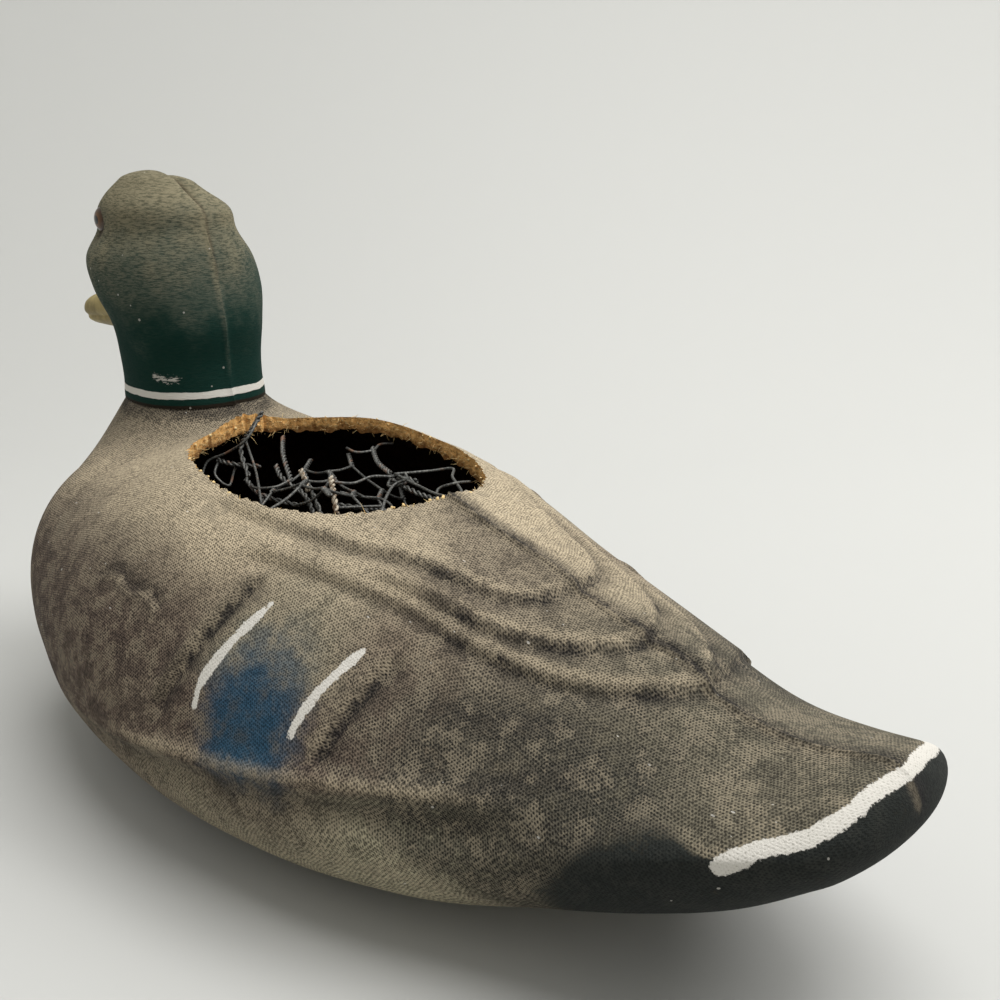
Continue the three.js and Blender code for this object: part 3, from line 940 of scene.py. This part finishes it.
def torn_fibre():
    """Raw pulp where the wall was cut: matted ochre fibre, darker in layers and towards the inside."""
    s = Shader("torn_fibre")
    place = s.place()
    clots = s.noise(place, 0.28, 3, 0.65)
    layers = s.noise(s.place((0.22, 0.22, 0.5)), 1, 3, 0.6)
    tufts = s.noise(place, 0.85, 2, 0.65)
    colour = s.mix(s.ramp(layers, 0.3, 0.5, 0.35, 1), FIBRE_DARK, FIBRE_OCHRE)
    colour = s.mix(s.ramp(tufts, 0.52, 0.72, 0, 0.7), colour, FIBRE_PALE)
    inwards = s.muladd(clots, 9, s.attribute("drop"))
    colour = s.mix(s.ramp(inwards, 6.2, 9.4, 0, 0.75), colour, FIBRE_INNER)
    colour = s.mix(s.ramp(tufts, 0.42, 0.28, 0, 0.6), colour, FIBRE_DEEP)
    return s.finish(colour, 0.93, s.bump(s.add(tufts, layers), 0.6), Specular_IOR_Level=0.1)


def loose_fibre():
    s = Shader("loose_fibre")
    tufts = s.noise(s.place(), 0.7, 2, 0.6)
    colour = s.mix(s.ramp(tufts, 0.25, 0.5), FIBRE_OCHRE, FIBRE_PALE)
    return s.finish(colour, 0.93, Specular_IOR_Level=0.1)


def eye_glass():
    """Amber glass with a black pupil, darker brown at its rim."""
    s = Shader("eye_amber")
    away = s.attribute("from_pole")
    iris = s.mix(s.ramp(away, 1.7, 4), IRIS_AMBER, IRIS_BROWN)
    iris = s.mix(s.ramp(away, 3.8, 5), iris, IRIS_RIM)
    colour = s.mix(s.ramp(away, 1.75, 1.55), iris, PUPIL_BLACK)
    return s.finish(colour, 0.3, Specular_IOR_Level=0.45, Coat_Weight=0.25, Coat_Roughness=0.2)


def galvanised_wire():
    s = Shader("galvanised_wire")
    place = s.place()
    fine = s.noise(place, 1.4, 2, 0.6)
    colour = s.mix(s.ramp(fine, 0.35, 0.7), ZINC_DARK, ZINC_PALE)
    rust = s.ramp(s.noise(place, 0.14, 2, 0.6), 0.58, 0.68)
    colour = s.mix(s.times(rust, 0.7), colour, RUST)
    s.put(s.ramp(rust, 0, 1, 0.45, 0.1), s.bsdf.inputs["Metallic"])
    return s.finish(colour, 0.55, s.bump(fine, 0.1))


def whitened_wire():
    """Two twisted pairs stand out, crusted with pale zinc bloom and rust."""
    s = Shader("whitened_wire")
    crust = s.noise(s.place(), 0.8, 2, 0.6)
    colour = s.mix(s.ramp(crust, 0.4, 0.6), CRUST_BROWN, CRUST_PALE)
    return s.finish(colour, 0.85, s.bump(crust, 0.2))


def plain_backdrop():
    s = Shader("plain_backdrop")
    return s.finish(BACKDROP_GREY, 0.9, Specular_IOR_Level=0.1)


# The shell: lofts joined and cut, then dressed with what its materials read

SKIN, HEAD_SKIN, BILL_SKIN, INNER, CUT = range(5)
SHARP_ANGLE = math.radians(48)

# Where the body's outside and its hollow start and end, and how far these ends are rounded
OUTSIDE = (0, BODY_LENGTH, TAIL_ROUND, BREAST_ROUND)
HOLLOW = (SOLID_TAIL, BODY_LENGTH - WALL, HOLLOW_ROUND, BREAST_ROUND - WALL)


def lumpy(places):
    """The rough inside of the pulp wall, thinner in some places than in others."""
    x, y, z = places.T
    large = np.sin(x / 3.1 + y / 4.7) * np.sin(y / 2.9 - x / 6.1 + 1)
    small = np.sin(x / 1.9 + 2) * np.sin(y / 2.1 + x / 3.3)
    return 1.1 * (large + 0.7 * small) * step(z, 60, 85)


def use_material(made, index):
    """Give all faces the material with this number."""
    faces = len(made.data.polygons)
    made.data.polygons.foreach_set("material_index", np.full(faces, index, dtype=np.int32))


def joined_shell(materials):
    """The whole shell as one mesh: the outside joined, then hollowed and cut open."""
    skin = {"inset": 0, "ends": 14, "steps": 196, "places": ring_places(108, 14), "relief": body_relief}
    inside = {"inset": WALL, "ends": 6, "steps": 110, "places": ring_places(44, 6), "relief": lumpy}
    body = body_loft("moulded_shell_skin", *OUTSIDE, **skin)
    parts = [
        (neck_foot("foot", inset=0, steps=30, around=160), "UNION", SKIN),
        (head_loft("head", inset=0, steps=74, around=160, relief=head_relief), "UNION", HEAD_SKIN),
        (bill_loft("bill", steps=30, around=64), "UNION", BILL_SKIN),
        (ground_block(), "DIFFERENCE", SKIN),
        (body_loft("hollow", *HOLLOW, **inside), "DIFFERENCE", INNER),
        (neck_foot("foot_hollow", inset=WALL, steps=8, around=40), "DIFFERENCE", INNER),
        (head_loft("head_hollow", inset=WALL, steps=16, around=40), "DIFFERENCE", INNER),
        (hole_cutter("opening", around=520), "DIFFERENCE", CUT),
    ]
    for made in [body] + [part[0] for part in parts]:
        for material in materials:
            made.data.materials.append(material)
    for made, operation, index in parts:
        use_material(made, index)
        cut = body.modifiers.new(made.name, "BOOLEAN")
        cut.operation = operation
        cut.solver = "MANIFOLD"
        cut.object = made
    depsgraph = bpy.context.evaluated_depsgraph_get()
    finished = bpy.data.meshes.new_from_object(body.evaluated_get(depsgraph))
    body.modifiers.clear()
    body.data = finished
    for made, _, _ in parts:
        bpy.data.objects.remove(made)
    return body


def read(items, name, kind=np.int32, width=1):
    values = np.empty(len(items) * width, dtype=kind)
    items.foreach_get(name, values)
    return values


def float_attribute(mesh, name, values, domain="POINT"):
    made = mesh.attributes.new(name, "FLOAT", domain)
    made.data.foreach_set("value", np.asarray(values, dtype=np.float32))


def arc_table(stations, angles):
    """Arc length from the ridge by station and by angle round the section's middle."""
    rows = []
    for station in stations:
        y, z = half_section(station, 1, 0, 361)
        turn = np.arctan2(z - body_value("beam", station), y)
        rows.append(np.interp(angles, turn[::-1], arc_length(y, z)[::-1]))
    return np.array(rows)


def body_weave(places):
    """Along the body and round it from the ridge, in millimetres: the screen print runs in these."""
    rows, columns = 60, 91
    quarter = math.pi / 2
    table = arc_table(np.linspace(0, BODY_LENGTH, rows), np.linspace(-quarter, quarter, columns))
    x = np.clip(places[:, 0], 0, BODY_LENGTH)
    turn = np.arctan2(places[:, 2] - body_value("beam", x), np.abs(places[:, 1]))
    i, j = x / BODY_LENGTH * (rows - 1), (turn / math.pi + 0.5) * (columns - 1)
    row, column = np.clip(i.astype(int), 0, rows - 2), np.clip(j.astype(int), 0, columns - 2)
    down, right = i - row, j - column
    left_side = table[row, column] * (1 - down) + table[row + 1, column] * down
    right_side = table[row, column + 1] * (1 - down) + table[row + 1, column + 1] * down
    return x, left_side * (1 - right) + right_side * right


def head_weave(places):
    """Up the head and round it from the back, in millimetres."""
    middle, radius = NECK_X + 8, 29
    turn = np.arctan2(np.abs(places[:, 1]), middle - places[:, 0])
    return places[:, 2], turn * radius


def line_gap(places):
    """How far a place is outside the nearest painted white line, in millimetres."""
    near = mirrored(places)
    gap = np.full(len(places), FAR_AWAY)
    for bar in WING_BARS:
        distance, share, _ = nearest(spline(bar, 20), near)
        gap = np.minimum(gap, distance - WING_BAR_WIDTH / 2 * (0.5 + 0.7 * np.sin(0.3 + share * 2.4)))
    distance, share, _ = nearest(spline(TAIL_STRIPE, 24), near)
    gap = np.minimum(gap, distance - TAIL_STRIPE_WIDTH / 2 * (1.15 - 0.3 * share))
    distance, share, _ = nearest(TAIL_SPUR, places)
    return np.minimum(gap, distance - 0.9 * (1 - 0.6 * share))


def under_tail(places):
    """The charcoal underside of the tail: everything below the stripe's line, fading forwards."""
    x, z = places[:, 0], places[:, 2]
    edge = smooth([0, 5, 26, 43, 52, 62, 80], [74, 69, 56.5, 56, 52, 42, 20], x)
    soft = 0.6 + 7 * step(x, 28, 60)
    return step(edge - z, -soft, soft) * (1 - step(x, 54, 76))


def rear_flank(places):
    """Where the rear flank is mottled with soot, below and behind the wing."""
    x, z = places[:, 0], places[:, 2]
    high = smooth([0, 40, 80, 120, 160], [56, 64, 74, 70, 56], x)
    low = smooth([0, 60, 90, 120, 160], [8, 12, 30, 42, 44], x)
    return step(high - z, -6, 8) * step(z - low, -6, 6) * step(x, 30, 52) * (1 - step(x, 98, 132))


def blue_patch(places):
    """Distance from the middle of the wing's blue patch: 1 at its edge."""
    x, z = places[:, 0], places[:, 2]
    lean = x - 151 - 0.28 * (z - 58)
    return np.hypot(lean / np.where(lean > 0, 16, 17), (z - 55) / np.where(z > 55, 20, 16))


def pale_places(places):
    """Extra paleness round the opening and on the right of the back, and less on the breast."""
    x, y = places[:, 0], places[:, 1]
    rim = np.hypot((x - HOLE_X) / HOLE_HALF_LENGTH, y / HOLE_HALF_WIDTH)
    right = (1 - step(y, -14, 2)) * (1 - step(x, 150, 190)) * step(x, 66, 100)
    ahead = step(x, 160, 205)
    near_side = 18 * bump(np.hypot(x - 145, y - 40), 20) + 22 * bump(np.hypot(x - 190, y - 47), 20)
    behind = 14 * bump(np.hypot(x - 124, y - 10), 20)
    return (24 * ahead - 4) * (1 - step(rim, 1.0, 1.6)) + 38 * right + near_side - behind


def head_marks(places):
    """Distances to the head's dark and light lines, painted shade and highlight with the seam's joint and
    wear, and to the nape's white smudge.
    """
    near = mirrored(places)
    eye = np.linalg.norm(near - [NECK_X + 25, EYE["side"], NECK_Z + 65], axis=1)
    cheek = np.linalg.norm(near - [NECK_X + 12, 27, NECK_Z + 57], axis=1)
    seam = from_head_seam(places)
    above_nape = 1 - step(places[:, 2], NECK_Z + 36, NECK_Z + 50)
    hind_seam = 3.2 + 2.5 * np.abs(seam + 1.2) + 9 * above_nape
    smudge = nearest(spline(NAPE_SMUDGE, 12), places)[0] - 0.9
    return np.minimum(eye, hind_seam), np.minimum(0.9 + 0.2 * cheek, np.abs(seam)), smudge


def neck_foot_shade_and_dirt(places):
    """Distance to the painted shade, with some dirt, round the foot of the neck under the green band."""
    axis = NECK_X + HEAD["centre"][0]
    out = 26 * (np.hypot((places[:, 0] - axis) / 28.5, places[:, 1] / 25) - 1)
    down = np.clip(NECK_Z - 6 - places[:, 2], 0, 60)
    return 0.2 + 0.2 * (out + 0.6 * down)


def dress_shell(shell):
    """Give the shell's mesh the values that its materials read."""
    mesh = shell.data
    places = read(mesh.vertices, "co", float, 3).reshape(-1, 3) / MM - [TAIL_X, 0, 0]
    corner = read(mesh.loops, "vertex_index")
    kind = read(mesh.polygons, "material_index")
    of_head = np.repeat(kind, read(mesh.polygons, "loop_total")) == HEAD_SKIN
    for name, body, head in zip(("weave_u", "weave_v"), body_weave(places), head_weave(places)):
        float_attribute(mesh, name, np.where(of_head, head[corner], body[corner]), "CORNER")
    _, dark, light = feather_marks(places)
    head_dark, head_light, smudge = head_marks(places)
    on_head = places[:, 2] > NECK_Z + 2
    values = {
        "dark_line_and_shade_away": np.where(on_head, head_dark, np.minimum(dark, neck_foot_shade_and_dirt(places))),
        "rub_and_highlight_away": np.where(on_head, head_light, light),
        "line_gap": np.where(on_head, smudge, line_gap(places)),
        "undertail": under_tail(places),
        "rear": rear_flank(places),
        "blue": blue_patch(places),
        "pale": pale_places(places),
        "drop": body_top(places[:, 0], places[:, 1]) - places[:, 2],
    }
    for name, value in values.items():
        float_attribute(mesh, name, value)
    mesh.set_sharp_from_angle(angle=SHARP_ANGLE)
    mesh.update()


def keep(piece, node):
    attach(piece, "root")
    if node:
        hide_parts(node)


shell = joined_shell([painted_body(), painted_head(), painted_bill(), shaded_pulp_inside(), torn_fibre()])
dress_shell(shell)
keep(shell, "moulded_shell")


# Eyes


def eye_piece(node, material):
    """A flattened glass dome that looks out of the head, filling its CAD node's box."""
    low, high = (np.array(corner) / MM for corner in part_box(node))
    middle, half = (low + high) / 2 - [TAIL_X, 0, 0], (high - low) / 2
    outwards = np.array([0, np.sign(middle[1]), 0])
    polar = np.linspace(0, math.pi, 33)[1:-1]
    turn = turns(64)
    ring = xyz(np.cos(turn), 0, np.sin(turn))
    rings = [middle + half * (math.cos(p) * outwards + math.sin(p) * ring) for p in polar]
    pole = half * outwards
    made = loft(node + "_glass", middle + pole, np.array(rings), middle - pole, [material])
    reach = np.where(polar <= math.pi / 2, half[0] * np.sin(polar), half[0])
    float_attribute(made.data, "from_pole", np.concatenate([[0], np.repeat(reach, len(turn)), [half[0]]]))
    keep(made, node)


amber = eye_glass()
for node in ("eye_left", "eye_right"):
    eye_piece(node, amber)


# Wire netting

NET = {"x": 217, "base": 29, "turn": -35, "across": 40.2, "high": 66, "spread": 212}
NET_ROWS = 4
NET_COLUMNS = 9
TWIST_LENGTH = 13
ROW_RISE = 11
WIRE_RADIUS = 0.5
WIRE_SIDES = 8

# A direction that no wire runs in, from which the rings round the wires take their turn
ASLANT = [0.3, 0.2, 0.9]

# Wires that show in the opening: twisted pairs, single wires, and two crusted pairs
OPEN_TWISTS = [
    [(266, -5, 110), (264, 2, 104), (265, 6, 98), (254, 10, 90)],
    [(271, 13, 94), (264, 10, 93), (257, 3, 92)],
    [(269, -15, 98), (252, -4, 96), (237, 3, 91)],
    [(248, 2, 94), (241, 4, 91), (229, 3, 87), (222, 4, 81)],
    [(227, 4, 96), (224, 4, 92), (216, 5, 83)],
    [(233, -31, 97), (218, -22, 96), (203, -16, 96)],
    [(203, -16, 94), (190, -16, 92), (180, -19, 90)],
    [(253, 12, 90), (243, 12, 86), (233, 3, 82)],
    [(197, -11, 95), (192, -13, 97), (186, -14, 97)],
    [(213, 0, 86), (206, -6, 85), (198, -8, 86)],
]
OPEN_WIRES = [
    [(263, -1, 108), (261, 6, 102), (267, 11, 97), (271, 17, 94), (268, 22, 88)],
    [(268, 2, 100), (254, 7, 92), (237, 16, 88), (233, 18, 82)],
    [(271, 12, 94), (266, 17, 90), (262, 14, 86), (266, 9, 90), (264, 8, 93)],
    [(237, 3, 91), (236, 10, 90), (243, 14, 89), (254, 10, 88)],
    [(216, 0, 97), (213, 4, 94), (219, 6, 88), (226, 9, 85)],
    [(203, 8, 98), (200, 2, 97), (199, -5, 98), (196, -12, 97)],
    [(196, -12, 98), (190, -23, 98), (184, -28, 99), (176, -21, 99), (165, -15, 98), (160, -10, 98)],
    [(194, -12, 98), (182, -11, 97), (170, -9, 97), (161, -9, 98), (158, -13, 99)],
    [(173, -26, 97), (170, -17, 99), (174, -13, 97), (170, -10, 95), (163, -12, 96), (166, -18, 97)],
    [(237, -22, 98), (232, -23, 97), (230, -29, 97), (235, -36, 97), (233, -41, 97)],
    [(188, -12, 98), (191, -8, 96), (184, 1, 95), (178, 7, 94), (176, 11, 90)],
    [(189, 16, 94), (185, 11, 94), (180, 5, 94)],
    [(197, -10, 97), (194, -15, 98), (190, -12, 96), (194, -8, 95), (198, -12, 96)],
    [(214, -2, 90), (209, -8, 88), (202, -11, 88), (195, -10, 86), (190, 0, 84)],
    [(210, 2, 84), (203, 4, 83), (196, 0, 84), (188, -4, 86)],
    [(240, 8, 80), (226, 10, 80), (212, 12, 82), (200, 14, 84), (192, 15, 88)],
]
CRUSTED_TWISTS = [
    [(203, 9, 100), (199, 11, 96), (195, 13, 90)],
    [(227, 5, 97), (225, 5, 94), (223, 5, 90)],
]


def on_arch(column, along):
    """A place on the bent sheet, from a column round its arch and a distance along it."""
    share = column / (NET_COLUMNS - 1)
    turn = math.radians(90 + NET["spread"] * (0.5 - share) + 2.5 * math.sin(2.3 * column + along / 9))
    dent = 1 - 0.06 * math.cos(2 * turn + along / 30) - 0.04 * math.sin(3 * turn + 1 + along / 22)
    length = NET_ROWS * TWIST_LENGTH + (NET_ROWS - 1) * ROW_RISE
    x = along - length / 2 + 4 * math.sin(1.9 * column)
    y = NET["across"] * dent * math.cos(turn)
    z = NET["high"] * dent * math.sin(turn)
    cos, sin = math.cos(math.radians(NET["turn"])), math.sin(math.radians(NET["turn"]))
    return np.array([NET["x"] + x * cos - y * sin, x * sin + y * cos, NET["base"] + z])


def hoop(middle, radius, across, up, sides):
    """A ring of points round a place."""
    turn = turns(sides)[:, None]
    return middle + radius * (np.cos(turn) * across + np.sin(turn) * up)


class Tubes:
    """Collects tubes, each made of rings of points, and makes one mesh of them."""

    def __init__(self):
        self.points, self.faces, self.count = [], [], 0

    def add(self, rings):
        sides = len(rings[0])
        self.faces += tube_faces(self.count, len(rings), sides)
        self.points += rings
        self.count += len(rings) * sides

    def wire(self, line):
        """A round wire along a line."""
        line = np.array(line, float)
        run = unit(np.gradient(line, axis=0))
        across = np.cross(run[0], ASLANT)
        rings = []
        for point, along in zip(line, run):
            across = unit(across - along * (across @ along))
            rings.append(hoop(point, WIRE_RADIUS, across, np.cross(along, across), WIRE_SIDES))
        self.add(rings)

    def twist(self, line, pitch=5.0, apart=0.5):
        """Two wires wound round each other along a line."""
        line = np.array(line, float)
        length = np.linalg.norm(np.diff(line, axis=0), axis=1).sum()
        count = max(10, int(length / pitch * 12))
        middle = spline(line, count)
        run = unit(np.gradient(middle, axis=0))
        across = unit(np.cross(run, ASLANT))
        up = np.cross(run, across)
        turn = np.linspace(0, 2 * math.pi * length / pitch, count)[:, None]
        for phase in (0, math.pi):
            self.wire(middle + apart * (np.cos(turn + phase) * across + np.sin(turn + phase) * up))

    def finish(self, name, material):
        return new_object(name, np.concatenate(self.points), self.faces, [material])


def netting(material):
    """The lattice on the arch, and the wires that show in the opening."""
    wires = Tubes()
    pitch = TWIST_LENGTH + ROW_RISE
    inside = np.array([NET["x"], 0, NET["base"] + 30])
    for row in range(NET_ROWS):
        low = row * pitch
        for column in np.arange((row % 2) / 2, NET_COLUMNS - 1 + 0.1):
            end = on_arch(column, low + TWIST_LENGTH)
            wires.twist([on_arch(column, low), end])
            for nearby in (column - 0.5, column + 0.5):
                if row < NET_ROWS - 1 and 0 <= nearby <= NET_COLUMNS - 1:
                    start = on_arch(nearby, low + pitch)
                    middle = (end + start) / 2
                    middle = middle + (inside - middle) / 60 * rng.uniform(0.5, 1.6)
                    wires.wire(spline([end, middle, start], 9))
    for line in OPEN_TWISTS:
        wires.twist(line)
    for line in OPEN_WIRES:
        wires.wire(spline(line, 8 * len(line)))
    return wires.finish("hexagonal_netting", material)


def crusted_pairs(material):
    wires = Tubes()
    for line in CRUSTED_TWISTS:
        wires.twist(line, 4.0, 0.55)
    return wires.finish("crusted_twists", material)


keep(netting(galvanised_wire()), "wire_netting")
keep(crusted_pairs(whitened_wire()), None)


# Fibres and crumbs round the torn edge


def rim_place(angle, drop):
    """A place on the wall of the opening, drop millimetres under the skin."""
    x, y = rim(angle)
    return np.array([x, y, float(body_top(x, y)) - drop])


def rim_fibres(material):
    """Short tapering fibres that stand out of the cut wall."""
    tubes = Tubes()
    for _ in range(FIBRE_COUNT):
        angle = rng.uniform(0, 2 * math.pi)
        drop = rng.uniform(0.2, WALL + 0.6)
        inwards = -np.array([math.cos(angle), math.sin(angle), 0])
        start = rim_place(angle, drop) - inwards * 0.9
        lean = unit(inwards * rng.uniform(0.4, 1) + rng.normal(0, 0.7, 3))
        curl = rng.normal(0, 0.8, 3) + [0, 0, -0.3]
        length, thick = rng.uniform(1.2, 3.4), rng.uniform(0.07, 0.2)
        across = unit(np.cross(lean, [0.3, 0.5, 0.8]))
        up = np.cross(lean, across)
        rings = []
        for share in (0, 0.35, 0.7, 1):
            centre = start + length * (lean * share + curl * 0.25 * share**2)
            rings.append(hoop(centre, thick * (1 - 0.8 * share), across, up, 4))
        tubes.add(rings)
    return tubes.finish("rim_fibres", material)


def crumb(middle, radius):
    """A small uneven ball."""
    turn = turns(7)
    rings = []
    for polar in (0.6, 1.2, 1.9, 2.5):
        level = math.sin(polar)
        ring = xyz(level * np.cos(turn), level * np.sin(turn), math.cos(polar))
        rings.append(middle + ring * radius * rng.uniform(0.6, 1.25, (len(turn), 1)))
    return rings


def rim_crumbs(material):
    """Crumbs of pulp along the edge, more of them on the near side and at the ends."""
    tubes = Tubes()
    for i in range(CRUMB_COUNT):
        if i % 3:
            angle = rng.uniform(0, 2 * math.pi)
        else:
            angle = math.radians(rng.choice(CRUMB_ANGLES) + rng.normal(0, 7))
        middle = rim_place(angle, rng.uniform(-0.25, 1.4)) + np.append(rng.normal(0, 0.5, 2), 0)
        tubes.add(crumb(middle, rng.uniform(0.2, 0.7)))
    return tubes.finish("rim_crumbs", material)


fibre = loose_fibre()
keep(rim_fibres(fibre), None)
keep(rim_crumbs(fibre), None)


# Stage, light and camera

# The photograph's viewpoint in metres and degrees: where it is and looks, and how much it leans
VIEW_PLACE = (-0.2760, 0.2039, 0.1982)
VIEW_TURN, VIEW_DOWN, VIEW_LEAN = (math.radians(angle) for angle in (46.47, 17.38, -0.84))
LENS, SENSOR = 38.65, 36
LIGHT_AIM = Vector((0, 0, 0.06))

# The backdrop's level floor behind the duck, how much more there is in front, its curve and height
FLOOR_BEHIND = 0.34
FLOOR_MORE = 1.6
CURVE = 0.6
WALL_TOP = 1.6


def backdrop():
    """A bowl: a floor that curves up into a wall, close behind the duck and further off elsewhere."""
    around = turns(96)
    count = len(around)
    flat = FLOOR_BEHIND + FLOOR_MORE * (1 - np.cos(around)) / 2
    bearing = around - math.pi / 2 + VIEW_TURN
    profile = [(math.sin(rise), 1 - math.cos(rise)) for rise in np.linspace(0, math.pi / 2, 19)]
    profile.append((1, WALL_TOP / CURVE))
    points = [np.zeros((1, 3))]
    for out, up in profile:
        reach = flat + CURVE * out
        points.append(xyz(reach * np.cos(bearing), reach * np.sin(bearing), CURVE * up))
    faces = [(0, 1 + k, 1 + (k + 1) % count) for k in range(count)]
    faces += [face[::-1] for face in band_faces(1, len(profile), count)]
    world_object("backdrop", np.concatenate(points), faces, [plain_backdrop()])


def softbox(name, place, size, watts):
    """A round area light that is aimed at the duck."""
    data = bpy.data.lights.new(name, "AREA")
    data.shape = "DISK"
    data.size = size
    data.energy = watts
    made = bpy.data.objects.new(name, data)
    made.location = place
    made.rotation_euler = (LIGHT_AIM - Vector(place)).to_track_quat("-Z", "Y").to_euler()
    bpy.context.scene.collection.objects.link(made)


def room_light():
    world = bpy.data.worlds.new("soft_room")
    world.use_nodes = True
    background = world.node_tree.nodes["Background"].inputs
    background["Color"].default_value = ROOM_WHITE
    background["Strength"].default_value = 0.7
    bpy.context.scene.world = world


def camera():
    data = bpy.data.cameras.new("camera")
    data.sensor_width = SENSOR
    data.lens = LENS
    made = bpy.data.objects.new("camera", data)
    turn = Matrix.Rotation(VIEW_TURN + math.pi, 4, "Z")
    tilt = Matrix.Rotation(math.pi / 2 - VIEW_DOWN, 4, "X")
    lean = Matrix.Rotation(VIEW_LEAN, 4, "Z")
    made.matrix_world = Matrix.Translation(VIEW_PLACE) @ turn @ tilt @ lean
    bpy.context.scene.collection.objects.link(made)
    bpy.context.scene.camera = made


backdrop()
softbox("key", place=(-0.6, -0.75, 1.1), size=0.8, watts=8)
softbox("top", place=(-0.24, -0.25, 1.7), size=1.4, watts=22)
room_light()
camera()
bpy.context.scene.view_settings.view_transform = "Standard"
